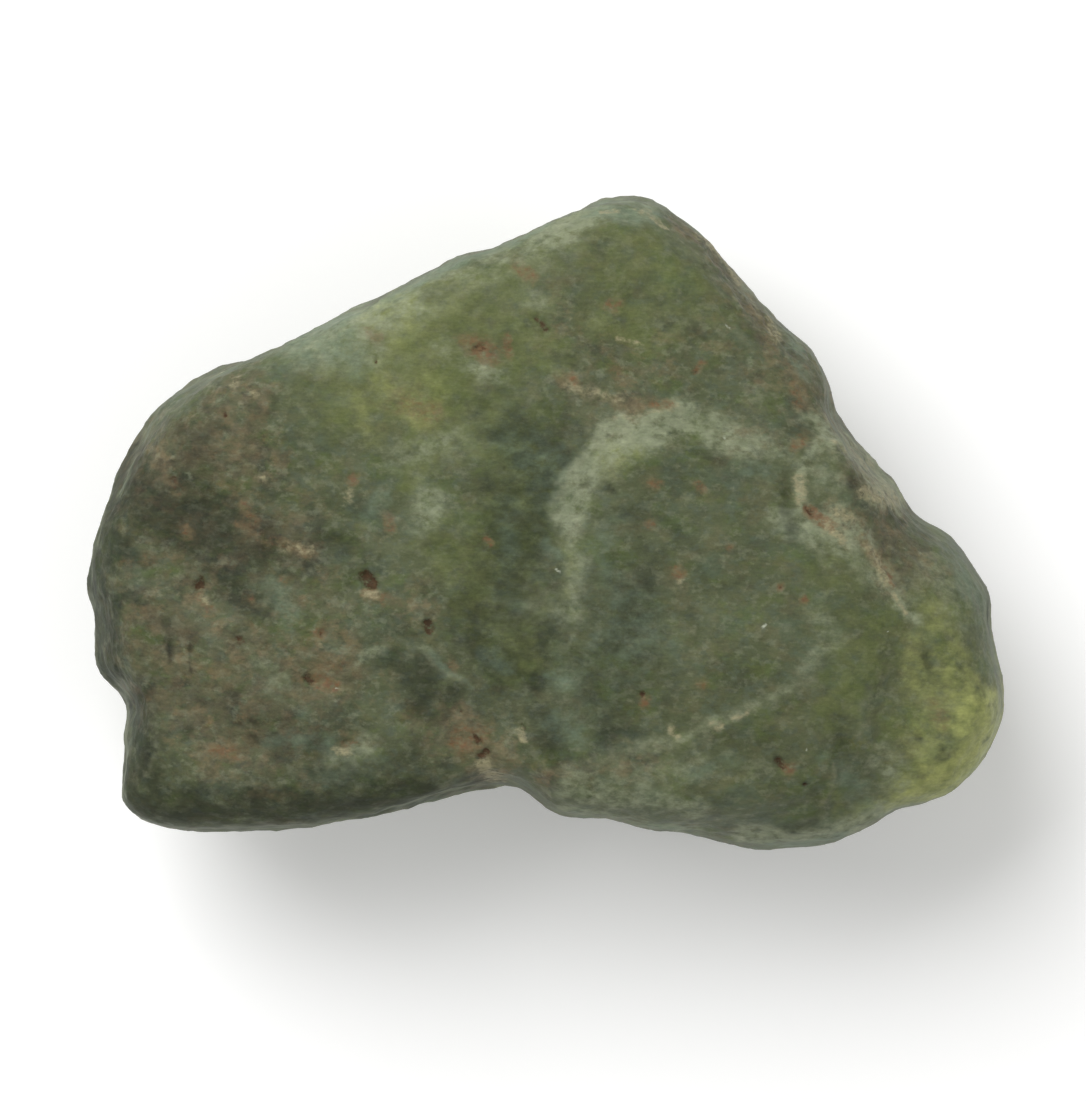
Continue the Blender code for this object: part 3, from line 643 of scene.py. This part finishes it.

# %% [markdown]
# ### Pits and glints
# Small dark pits are the stone's clearest marks: their dark red-brown is partly their own colour and
# partly painted shade in the hollows. A few tiny fresh faces flash white, as painted highlights.

# %% Pits and glints
# Dark pit floors: their own red-brown, deepened with painted shade
PITS = dict(
    left=(0.19, 0.95, -12.31, -2.19, -12.28, -2.26),
    upper_left=(0.1, 0.8, -11.39, 3.87),
    brown_left=(0.18, 0.6, -13.35, 1.59),
    long=(0.23, 0.9, -6.47, -1.84, -6.15, -2.16),
    star=(0.2, 0.9, -4.15, -3.76, -4.08, -3.94),
    left_middle=(0.15, 0.8, -10.85, -4.29),
    dark_red=(0.14, 0.65, -8.61, -5.54, -8.25, -5.65),
    low_brown=(0.1, 0.5, -7.18, -7.75, -6.97, -7.79),
    cluster=(0.14, 0.75, -2.44, -7.61, -2.33, -7.72),
    cluster_two=(0.14, 0.7, -2.3, -8.29, -2.05, -8.11),
    cluster_three=(0.09, 0.6, -3.01, -6.86),
    notch=(0.08, 0.6, -0.8, -7.18, -0.62, -7.39),
    low_right=(0.14, 0.8, 8.29, -8.57, 8.39, -8.78),
    middle_right=(0.13, 0.8, 3.51, -6.18),
    small_right=(0.09, 0.7, 9.28, -9.35),
    upper_long=(0.13, 0.5, -2.41, 6.18, -2.16, 6.15),
    purple=(0.13, 0.5, -0.27, 7.25, -0.05, 6.93),
    purple_low=(0.1, 0.6, 0.05, 6.75),
    upper_brown=(0.11, 0.6, -5.93, 5.72),
    dent=(0.09, 0.5, 5.43, 5.33),
    rust_hollow=(0.11, 0.5, 9.46, 0.48, 9.68, 0.34),
    right_red=(0.08, 0.5, 8.5, -2.3),
    middle=(0.09, 0.5, -7.89, -3.97),
)
# Painted highlights: near-white specks where tiny fresh faces catch the light
GLINTS = dict(
    low_left=(0.05, 0.85, -7.54, -5.9, -7.39, -5.97),
    middle_left=(0.06, 0.68, -6.22, 1.12),
    middle=(0.05, 0.59, -3.58, 0.87),
    dent=(0.05, 0.77, 6.36, 7.04, 6.54, 6.9),
    shield=(0.09, 0.59, 6.47, 3.15),
    centre=(0.07, 0.7, 0.3, -1.59, 0.45, -1.69),
    right=(0.06, 0.75, 7.68, -3.87, 7.82, -3.76),
    lobe=(0.05, 0.85, 12.28, -3.97),
    low=(0.05, 0.77, 9.28, -8.11),
)
print(len(PITS), "pits and", len(GLINTS), "glints")

# %% [markdown]
# ### Creases and ridges
# Fine creases and low worn ridges run between the larger faces, where old cracks once parted the crystal.
# Besides their relief, the creases are darkened with painted shade and the ridges lit with a painted
# highlight.

# %% Creases and ridges
CREASES = dict(
    lobe_seam=(0.21, 0.5, 12.42, -4.19, 11.96, -5.97, 11.81, -7.75),
    by_the_ledge=(0.25, 0.4, 2.05, 3.3, 1.02, 2.12, 0.34, 0.62, 0.37, -1.34),
    dent=(0.21, 0.5, 5.19, 6.58, 6.25, 6.65, 7.15, 5.79),
    left_end=(0.21, 0.5, -15.56, -2.76, -15.41, -4.54, -14.95, -5.97),
    right_band=(0.14, 0.5, 6.08, 9.28, 7.15, 7.75, 8.75, 6.15),
    bump_right=(0.14, 0.6, 10.6, 2.76, 11.67, 1.87, 11.96, 0.8),
)
RIDGES = dict(
    low_ridge=(0.5, 0.5, 0.6, -8.9, 3.4, -8, 5.5, -7.6, 6.9, -6.9, 9.7, -5.3),
    lobe_ridge=(0.36, 0.6, 11.31, -7.57, 11.53, -6.33, 12.13, -5.33),
    seam=(0.21, 0.5, 10.32, 0.02, 11.31, -0.73, 12.42, -2.23, 13.56, -3.3),
    bump_edge=(0.18, 0.5, 9.14, 1.73, 9.32, 0.8),
    bump_top=(0.21, 0.6, 9.53, 2.87, 10.89, 2.94, 11.78, 2.16),
    dent_rim=(0.29, 0.5, 4.83, 7.04, 5.72, 7.18, 6.9, 6.72, 7.54, 6.08),
    ledge_crown=(0.21, 0.5, 0.37, 0.62, 1.34, 2.23, 2.69, 3.4, 3.83, 3.65, 4.97, 3.97),
    side_band=(0.21, 0.5, 5.72, 10.07, 7.15, 8.36, 8.75, 6.68, 9.64, 5.43),
    lower_right=(0.14, 0.6, 10.39, -8.75, 10.17, -9.46, 9.75, -10.1),
    left_end=(0.21, 0.5, -14.06, -6.5, -13.77, -7.93, -14.06, -9),
    upper_left=(0.25, 0.4, -13.7, 2.41, -12.1, 3.47, -10.85, 4.79),
    cluster=(0.21, 0.5, -1.59, -8.46, -0.87, -7.57, 0.12, -8.82),
)
print(len(CREASES), "creases and", len(RIDGES), "ridges")

# %% [markdown]
# ## A finer skin still at the finest marks
# The smallest marks are hardly wider than the skin's squares, which would make them jagged. Only the
# faces next to them are divided again, because dividing the whole skin would cost far more faces than it
# gains.

# %% Divide the skin at the finest marks
FINE_WIDTH = 0.3
FINE_REACH = 1.5

seen_faces = see_from_above(np.array([face.center for face in stone.data.polygons]) / MM)
is_fine = np.zeros(len(seen_faces), dtype=bool)
for marks in (CREAMS, STAINS, PITS, GLINTS, CREASES, RIDGES):
    for width, _, *path in marks.values():
        if width <= FINE_WIDTH:
            is_fine |= distance_to_path(seen_faces, path) < FINE_REACH * width
divide_faces(stone, is_fine & faces_upward(stone))

# %% [markdown]
# ## An uneven skin
# Water and grit leave low swells and a fine grain. Displace modifiers push the skin along its normals by
# cloudy textures of three sizes. A vertex group that leaves out the flat it rests on keeps that clean.

# %% Swells and grain
FLAT_REACH = (0.1, 0.6)
# The size and the strength of each swell
SWELLS = {"broad": (1.7, 0.16), "middle": (0.62, 0.1), "fine": (0.26, 0.05)}
MIDDLE_GREY = 0.5


def make_clouds(name, size):
    """A cloudy texture of a size in millimetres."""
    clouds = bpy.data.textures.new(name, "CLOUDS")
    clouds.noise_scale = size * MM
    return clouds


def displace(piece, group, strength, clouds=None):
    """Moves a vertex group along its normals, both ways by a texture or one way without it."""
    middle = MIDDLE_GREY if clouds else 0.0
    settings = {"vertex_group": group, "strength": strength * MM, "mid_level": middle, "texture": clouds}
    apply_modifier(piece, "displace", "DISPLACE", **settings)


off_the_flat = smooth_step(read_vertices(stone)[0][:, 2], *FLAT_REACH)
paint_group(stone, "off_the_flat", off_the_flat)
for name, (size, strength) in SWELLS.items():
    displace(stone, "off_the_flat", strength, make_clouds(name + "_swells", size))
print("swells of", ", ".join(f"{size} mm" for size, _ in SWELLS.values()))

# %% [markdown]
# ## Painting the marks
# Each kind of mark becomes a value for every vertex, stored on the mesh by name, which the finish reads.
# The sides and the sole are in no picture. They get marks of the same sizes and strengths at seeded
# random places, more of them because that surface is larger.

# %% Strength of a set of marks
SEEN_SLOPE = (-0.04, 0.24)
SLOPE_PATCH = 1.1
SLOPE_RAGGED = 0.16
HIDDEN_SHARE = 1.6
BROADEST_HIDDEN = 1.3
HIDDEN_BELOW = 0.5

places, directions = read_vertices(stone)
seen_places = see_from_above(places)
raggedness = SLOPE_RAGGED * np.array([noise.noise(Vector(place) / SLOPE_PATCH) for place in places])
is_seen = smooth_step(directions[:, 2] + raggedness, *SEEN_SLOPE)
print(round(100 * is_seen.mean()), "% of the vertices face the camera")


def strength_where_seen(marks):
    """How strongly a set of marks covers each vertex, from 0 to 1, by where the camera sees it."""
    bare = np.ones(len(places))
    for width, strength, *path in marks.values():
        bare *= 1.0 - strength * np.exp(-((distance_to_path(seen_places, path) / width) ** 2))
    return 1.0 - bare


def strength_all_around(place, width, strength):
    """A soft ball of strength about one place."""
    return strength * np.exp(-((np.linalg.norm(places - place, axis=1) / width) ** 2))


def strength_where_hidden(marks, seed):
    """The same kind of marks, strewn over the hidden surface. The seed makes each run the same."""
    chance = np.random.default_rng(seed)
    hidden = np.flatnonzero(is_seen < HIDDEN_BELOW)
    kinds = [mark[:2] for mark in marks.values() if mark[0] < BROADEST_HIDDEN]
    bare = np.ones(len(places))
    for middle in chance.choice(hidden, round(len(marks) * HIDDEN_SHARE)):
        width, strength = kinds[chance.integers(len(kinds))]
        bare *= 1.0 - strength_all_around(places[middle], width, strength)
    return 1.0 - bare


# %% [markdown]
# The two are blended where the skin turns away from the camera. Only the painted glow of the thin lobe,
# the lemon colour that stands for light coming through it, is on every side of it alike, as a soft ball
# about a place inside it.

# %% Paint every kind
# A soft ball of painted glow inside the thin lobe
ALL_AROUND = {"glow": ((15.8, -7.6, 4.8), 3.4, 0.75)}
KINDS = dict(
    shade=SHADES, window=WINDOWS, glow=GLOWS, crust=CRUSTS, frost_and_highlight=FROSTS_AND_HIGHLIGHTS, chill_and_sheen=CHILLS_AND_SHEENS,
    stain=STAINS, cream=CREAMS, pit=PITS, glint=GLINTS, crease=CREASES, ridge=RIDGES,
)
FIRST_SEED = 11

painted = {}
for seed, (name, marks) in enumerate(KINDS.items(), FIRST_SEED):
    hidden_strength = strength_where_hidden(marks, seed)
    painted[name] = is_seen * strength_where_seen(marks) + (1.0 - is_seen) * hidden_strength
    if name in ALL_AROUND:
        painted[name] = 1.0 - (1.0 - painted[name]) * (1.0 - strength_all_around(*ALL_AROUND[name]))
    stored = stone.data.attributes.new(name, "FLOAT", "POINT")
    stored.data.foreach_set("value", painted[name].astype(np.float32))
    print(name, "covers", round(100 * painted[name].mean(), 1), "% of the skin")

# %% [markdown]
# ## Real hollows
# Pits, creases and ridges are real relief and not only tones. Their strength is also a vertex group, by
# which a Displace modifier sinks or raises the skin. Crust is rough in the same way.

# %% Sink, raise and roughen the skin
RELIEF = {"pit": -0.17, "crease": -0.06, "ridge": 0.09}
CRUST_SIZE = 0.34
CRUST_RELIEF = 0.15

for name, height in RELIEF.items():
    paint_group(stone, name + "_relief", painted[name])
    displace(stone, name + "_relief", height)
paint_group(stone, "crusts", painted["crust"] * smooth_step(places[:, 2], *FLAT_REACH))
displace(stone, "crusts", CRUST_RELIEF, make_clouds("crumbs", CRUST_SIZE))
print("relief in mm:", RELIEF)

# %% [markdown]
# ## The resting flat
# The swells and the relaxing have left the flat a hair uneven. Its vertices are scaled to nothing along
# Z, which lays them all on the sheet.

# %% Lay the flat down
LIE_FLAT_BELOW = 0.06

edit_chosen(stone, "VERT", read_vertices(stone)[0][:, 2] < LIE_FLAT_BELOW)
bpy.ops.transform.resize(value=(1.0, 1.0, 0.0), center_override=(0.0, 0.0, 0.0))
bpy.ops.mesh.select_all(action="SELECT")
bpy.ops.mesh.normals_make_consistent(inside=False)
bpy.ops.object.mode_set(mode="OBJECT")
bpy.ops.object.shade_smooth()
lowest = round(read_vertices(stone)[0][:, 2].min(), 3)
triangles = sum(len(face.vertices) - 2 for face in stone.data.polygons)
print("the lowest vertex is at", lowest, "mm, and the skin has", triangles, "triangles")

# %% [markdown]
# ## Shader tools
# The finish is built from a few node groups with named sockets. These helpers keep their making readable.
# Each adds one node, sets it, and feeds its sockets with values or with the outputs of other nodes.

# %% Adding nodes and opening a group
def add_node(tree, kind, feeds=None, **settings):
    """One node in a tree. feeds gives its sockets a value or an output to link, by name or number."""
    made = tree.nodes.new(kind)
    for setting, value in settings.items():
        setattr(made, setting, value)
    for socket, value in (feeds or {}).items():
        if isinstance(value, bpy.types.NodeSocket):
            tree.links.new(value, made.inputs[socket])
        else:
            made.inputs[socket].default_value = value
    return made


def calculate(tree, operation, *values, **settings):
    """The result of a Math node."""
    feeds = dict(enumerate(values))
    return add_node(tree, "ShaderNodeMath", feeds, operation=operation, **settings).outputs[0]


def steepen(tree, value, low, high):
    """0 below low, 1 above high, and an easy slope between."""
    feeds = {"Value": value, "From Min": low, "From Max": high}
    return add_node(tree, "ShaderNodeMapRange", feeds, interpolation_type="SMOOTHSTEP").outputs["Result"]


# A Mix node has sockets for each kind: the numbers of the two that it mixes and of the mixed one
MIX_SOCKETS = {"FLOAT": (2, 3, 0), "RGBA": (6, 7, 2)}


def mix(tree, kind, under, over, mask, blend="MIX"):
    """Lays one value or colour over another where the mask is."""
    first, second, mixed = MIX_SOCKETS[kind]
    feeds = {"Factor": mask, first: under, second: over}
    return add_node(tree, "ShaderNodeMix", feeds, data_type=kind, blend_type=blend).outputs[mixed]


def open_group(name, inputs, outputs):
    """A new shader node group with named sockets, and its input and output nodes."""
    group = bpy.data.node_groups.new(name, "ShaderNodeTree")
    for in_out, sockets in {"INPUT": inputs, "OUTPUT": outputs}.items():
        for socket, kind in sockets.items():
            group.interface.new_socket(socket, in_out=in_out, socket_type="NodeSocket" + kind)
    return group, add_node(group, "NodeGroupInput").outputs, add_node(group, "NodeGroupOutput").inputs


# %% [markdown]
# Cloudiness is the base of all the effects: soft noise of a size given in millimetres, pulled out a
# little along one direction because the stone's texture is fibrous.

# %% The cloudiness group
FIBRE_TURN = math.radians(30.0)
EVEN_PULL = (0.84, 1.1, 1.0)
LONG_PULL = (0.4, 1.7, 1.0)
CLOUD_ROUGHNESS = 0.62


def make_cloudiness():
    """Noise between 0 and 1, of a named size, with its contrast about the middle."""
    inputs = dict.fromkeys(("Size in mm", "Detail", "Contrast", "Shift"), "Float")
    inputs["Pull"] = "Vector"
    group, given, out = open_group("cloudiness", inputs, {"Value": "Float"})
    place = add_node(group, "ShaderNodeTexCoord").outputs["Object"]
    feeds = {"Vector": place, "Rotation": (0.0, 0.0, FIBRE_TURN), "Scale": given["Pull"]}
    fibres = add_node(group, "ShaderNodeMapping", feeds).outputs["Vector"]
    feeds = {0: fibres, 1: given["Shift"]}
    moved = add_node(group, "ShaderNodeVectorMath", feeds, operation="ADD").outputs[0]
    scale = calculate(group, "DIVIDE", 1.0 / MM, given["Size in mm"])
    feeds = {"Vector": moved, "Scale": scale, "Detail": given["Detail"], "Roughness": CLOUD_ROUGHNESS}
    clouds = add_node(group, "ShaderNodeTexNoise", feeds).outputs["Fac"]
    centred = calculate(group, "SUBTRACT", clouds, MIDDLE_GREY)
    stretched = calculate(group, "MULTIPLY_ADD", centred, given["Contrast"], MIDDLE_GREY, use_clamp=True)
    group.links.new(stretched, out["Value"])
    return group


def add_clouds(tree, size, detail, contrast, shift, pull=EVEN_PULL):
    """Cloudiness placed in a tree. Its shift makes its clouds differ from those of its other uses."""
    feeds = {"Size in mm": size, "Detail": detail, "Contrast": contrast, "Shift": shift, "Pull": pull}
    return add_node(tree, "ShaderNodeGroup", feeds, node_tree=cloudiness).outputs["Value"]


cloudiness = make_cloudiness()
print("group", cloudiness.name)

# %% [markdown]
# A painted mark has soft round edges. The ragged edge group breaks them up: it multiplies the mark by
# cloudiness and steepens it between two levels, so that a patch gets bays, islands and holes.

# %% The ragged edge group
EDGE_DETAIL = 5.0
EDGE_SOCKETS = ("Mark", "Size in mm", "Raggedness", "Low", "High", "Shift")


def make_ragged_edge():
    """Breaks up a soft mark into an irregular patch."""
    group, given, out = open_group("ragged_edge", dict.fromkeys(EDGE_SOCKETS, "Float"), {"Mask": "Float"})
    clouds = add_clouds(group, given["Size in mm"], EDGE_DETAIL, given["Raggedness"], given["Shift"])
    doubled = calculate(group, "MULTIPLY", clouds, 1.0 / MIDDLE_GREY)
    broken = calculate(group, "MULTIPLY", given["Mark"], doubled)
    group.links.new(steepen(group, broken, given["Low"], given["High"]), out["Mask"])
    return group


ragged_edge = make_ragged_edge()
print("group", ragged_edge.name)

# %% [markdown]
# ## The finish
# The stone is cloudy through and through and frosted on top. A frosted skin with a little light scattered
# below it is truer than see-through glass. The ground is moss green, clouded with grey, tan and
# blue-green. The marks lie over it as coats, each with two tones, its own raggedness and its own
# roughness. Some coats are painted light and shade: the lemon glow, the highlights and sheen in the frost
# and chill, the ridge highlights, the glints, and the shade in hollows, creases and pits. Tones are given
# as seen on a screen, and tone() works back to the colour that shows them so under this light.

# %% Tones and coats
LIGHT_LEVEL = 1.11
SURFACE_SHINE = (0.006, 0.006, 0.009)
DARKEST = 0.001


def tone(*levels):
    """The colour, in plain light values, that is seen as red, green and blue of 0 to 255."""
    shares = [level / 255.0 for level in levels]
    seen = [s / 12.92 if s <= 0.04045 else ((s + 0.055) / 1.055) ** 2.4 for s in shares]
    lit = [max((s - shine) / LIGHT_LEVEL, DARKEST) for s, shine in zip(seen, SURFACE_SHINE)]
    return (*lit, 1.0)


GROUND_TONES = [tone(97, 103, 76), tone(80, 87, 64)]
GROUND_ROUGHNESS = 0.55
# Size, detail, contrast and shift of the ground's clouds, and of the low and fine grain of the bump
GROUND_CLOUDS = (1.9, 4.0, 2.4, 3.0)
LOW_BUMP = (0.4, 3.0, 1.5, 6.0)
FINE_BUMP = (0.12, 2.0, 1.5, 8.0)
FINE_BUMP_SHARE = 0.5
# Clouds in the ground: tone, size, how much they hide on clean stone, and how much more on crust
CLOUD_TONES = {
    "sage": (tone(88, 104, 88), 1.7, 0.4, -0.3),
    "olive": (tone(88, 102, 56), 1.2, 0.5, 0.0),
    "slate": (tone(58, 62, 59), 1.0, 0.26, 0.6),
    "tan": (tone(134, 119, 92), 0.8, 0.14, 0.75),
    "rust": (tone(130, 98, 72), 0.5, 0.04, 0.3),
    "grey": (tone(90, 101, 88), 0.4, 0.4, 0.0),
    "pale": (tone(134, 138, 114), 0.36, 0.3, 0.3),
    "dark": (tone(56, 58, 47), 0.34, 0.16, 0.45),
}
# Their detail and contrast, and the two levels between which they set in
CLOUD_LOOK = (4.0, 2.6)
CLOUD_LEVELS = (0.5, 0.9)
# Shades, painted shade and dark slate together, multiply what lies under them by these
SHADE_TINTS = [(0.38, 0.38, 0.41, 1.0), (0.54, 0.55, 0.56, 1.0)]
# Each coat: the painted mark it follows, its two tones, the size of its mottling, the size and strength of
# its ragged edge, the levels between which it sets in, how much it hides, and its roughness
COATS = {
    "window": ("window", tone(96, 107, 62), tone(115, 121, 77), 0.7, 0.6, 1.9, 0.05, 1.0, 0.64, 0.45),
    # The glow coat is painted light: lemon green for light coming through the thin lobe
    "glow": ("glow", tone(176, 180, 112), tone(142, 149, 90), 0.6, 0.6, 1.3, 0.05, 1.1, 0.82, 0.42),
    "crust": ("crust", tone(118, 108, 82), tone(82, 80, 68), 0.6, 0.5, 2.2, 0.1, 1.0, 0.56, 0.7),
    # Frost coat: pale frost, and painted highlights on the edges that face the light
    "frost_and_highlight": ("frost_and_highlight", tone(158, 164, 136), tone(124, 132, 106), 0.45, 0.4, 1.9, 0.05, 1.05, 0.78, 0.6),
    # Chill coat: painted sheen along the lit rims, and real blue-green spots
    "chill_and_sheen": ("chill_and_sheen", tone(118, 134, 112), tone(103, 118, 99), 0.5, 0.45, 1.8, 0.08, 1.05, 0.66, 0.6),
    # The shade coat darkens as painted shade and as the stone's own dark slate and deep green
    "shade": ("shade", *SHADE_TINTS, 0.5, 0.8, 1.4, 0.05, 0.95, 1.0, 0.75),
    # Painted highlight along the ridges, where they catch the light
    "ridge_highlight": ("ridge", tone(140, 140, 114), tone(122, 124, 100), 0.3, 0.4, 1.8, 0.15, 1.1, 0.4, 0.6),
    # Painted shade in the creases
    "crease_shade": ("crease", tone(66, 66, 52), tone(78, 76, 60), 0.3, 0.4, 1.4, 0.15, 1.1, 0.4, 0.65),
    "halo": ("stain", tone(132, 116, 86), tone(118, 102, 78), 0.3, 0.3, 2.2, 0.05, 0.75, 0.45, 0.6),
    "stain": ("stain", tone(128, 90, 60), tone(110, 78, 62), 0.2, 0.2, 2.4, 0.25, 1.1, 0.62, 0.6),
    "cream": ("cream", tone(170, 163, 129), tone(142, 136, 108), 0.2, 0.2, 2.3, 0.1, 1.0, 0.76, 0.6),
    # The pit coat is partly the pits' own red-brown and partly painted shade in them
    "pit": ("pit", tone(58, 42, 34), tone(86, 60, 46), 0.18, 0.18, 2.2, 0.12, 0.75, 0.85, 0.75),
    # The glint coat is painted highlight: near-white flecks
    "glint": ("glint", tone(200, 205, 188), tone(182, 188, 168), 0.2, 0.15, 1.0, 0.25, 0.9, 0.8, 0.3),
}
MOTTLE_LOOK = (2.0, 2.0)
# Grain over all: size, pull and how far it lightens and darkens
GRAIN = {"round": (0.11, EVEN_PULL, 0.12), "long": (0.18, LONG_PULL, 0.13)}
GRAIN_LOOK = (2.0, 1.8)
# Shifts of the clouds, the ragged edges, the mottling and the grain: the first, and the step to the next
CLOUD_SHIFT, CLOUD_STEP = 1.0, 7.0
EDGE_SHIFT, EDGE_STEP = 2.0, 5.0
MOTTLE_SHIFT, MOTTLE_STEP = 0.0, 4.0
GRAIN_SHIFT, GRAIN_STEP = 9.0, 1.0
BUMP_STRENGTH = 0.7
BUMP_DEPTH = 0.018
CRUST_BUMP_DEPTH = 0.03
GARNET_SOCKETS = {
    "IOR": 1.74, "Specular IOR Level": 0.1,
    "Sheen Weight": 0.02, "Sheen Roughness": 0.5, "Sheen Tint": (0.72, 0.84, 0.86, 1.0),
    "Subsurface Weight": 0.1, "Subsurface Radius": (0.8, 1.0, 0.5), "Subsurface Scale": 0.8 * MM,
}

# %% [markdown]
# Ground, clouds, coats and grain are laid one over the other, and each coat brings its roughness. The
# bump is the same cloudiness in small, and deeper in the crust.

# %% The garnet finish
def make_garnet_finish():
    """Ground, clouds, coats and grain, with their roughness and a fine bump."""
    material = bpy.data.materials.new("frosted_garnet")
    material.use_nodes = True
    tree = material.node_tree
    shader = tree.nodes["Principled BSDF"]

    def read_mark(name):
        return add_node(tree, "ShaderNodeAttribute", attribute_name=name).outputs["Fac"]

    def times(value, factor, extra=0.0):
        return calculate(tree, "MULTIPLY_ADD", value, factor, extra)

    crust = read_mark("crust")
    color = mix(tree, "RGBA", *GROUND_TONES, add_clouds(tree, *GROUND_CLOUDS))
    for turn, (cloud_tone, size, cover, crust_cover) in enumerate(CLOUD_TONES.values()):
        clouds = add_clouds(tree, size, *CLOUD_LOOK, CLOUD_SHIFT + CLOUD_STEP * turn)
        mask = times(steepen(tree, clouds, *CLOUD_LEVELS), times(crust, crust_cover, cover))
        color = mix(tree, "RGBA", color, cloud_tone, mask)
    roughness = GROUND_ROUGHNESS
    for turn, coat in enumerate(COATS.values()):
        mark, first, second, mottle, edge, raggedness, low, high, cover, matt = coat
        edge_values = (read_mark(mark), edge, raggedness, low, high, EDGE_SHIFT + EDGE_STEP * turn)
        feeds = dict(zip(EDGE_SOCKETS, edge_values))
        patch = add_node(tree, "ShaderNodeGroup", feeds, node_tree=ragged_edge).outputs["Mask"]
        mask = times(patch, cover)
        mottling = add_clouds(tree, mottle, *MOTTLE_LOOK, MOTTLE_SHIFT + MOTTLE_STEP * turn)
        coat_color = mix(tree, "RGBA", first, second, mottling)
        color = mix(tree, "RGBA", color, coat_color, mask, "MULTIPLY" if mark == "shade" else "MIX")
        roughness = mix(tree, "FLOAT", roughness, matt, mask)
    for turn, (size, pull, reach) in enumerate(GRAIN.values()):
        clouds = add_clouds(tree, size, *GRAIN_LOOK, GRAIN_SHIFT + GRAIN_STEP * turn, pull)
        grain = times(clouds, 2.0 * reach, 1.0 - reach)
        color = mix(tree, "RGBA", color, grain, 1.0, "MULTIPLY")
    tree.links.new(color, shader.inputs["Base Color"])
    tree.links.new(roughness, shader.inputs["Roughness"])

    height = times(add_clouds(tree, *FINE_BUMP), FINE_BUMP_SHARE, add_clouds(tree, *LOW_BUMP))
    rough_height = times(height, times(crust, CRUST_BUMP_DEPTH / BUMP_DEPTH, 1.0))
    feeds = {"Strength": BUMP_STRENGTH, "Distance": BUMP_DEPTH * MM, "Height": rough_height}
    bump = add_node(tree, "ShaderNodeBump", feeds).outputs["Normal"]
    tree.links.new(bump, shader.inputs["Normal"])
    set_sockets(shader, GARNET_SOCKETS)
    return material


stone.data.materials.append(make_garnet_finish())
print("coats:", ", ".join(COATS))

# %% [markdown]
# ## The sheet
# A plain pale sheet lies under the stone. It isn't part of the stone.

# %% The pale sheet
SHEET_WIDTH = 4000.0
SHEET_GAP = 0.02
SHEET_TONES = [(0.95, 0.95, 0.95, 1.0), (0.92, 0.92, 0.92, 1.0)]
SHEET_CLOUDS = (60.0, 3.0, 1.0, 0.0)
PAPER_SOCKETS = {"Emission Strength": 0.15, "Roughness": 0.9, "Specular IOR Level": 0.1}

bpy.ops.mesh.primitive_plane_add(size=SHEET_WIDTH * MM, location=(0.0, 0.0, -SHEET_GAP * MM))
floor = bpy.context.object
floor.name = "pale_sheet"
paper = bpy.data.materials.new("pale_paper")
paper.use_nodes = True
paper_shader = paper.node_tree.nodes["Principled BSDF"]
paper_color = mix(paper.node_tree, "RGBA", *SHEET_TONES, add_clouds(paper.node_tree, *SHEET_CLOUDS))
for socket in ("Base Color", "Emission Color"):
    paper.node_tree.links.new(paper_color, paper_shader.inputs[socket])
set_sockets(paper_shader, PAPER_SOCKETS)
floor.data.materials.append(paper)
print("the stone lies on a sheet of", SHEET_WIDTH * MM, "m")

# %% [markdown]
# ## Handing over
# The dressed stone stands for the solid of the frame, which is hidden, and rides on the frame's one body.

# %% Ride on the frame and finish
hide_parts("garnet")
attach(stone, "root")
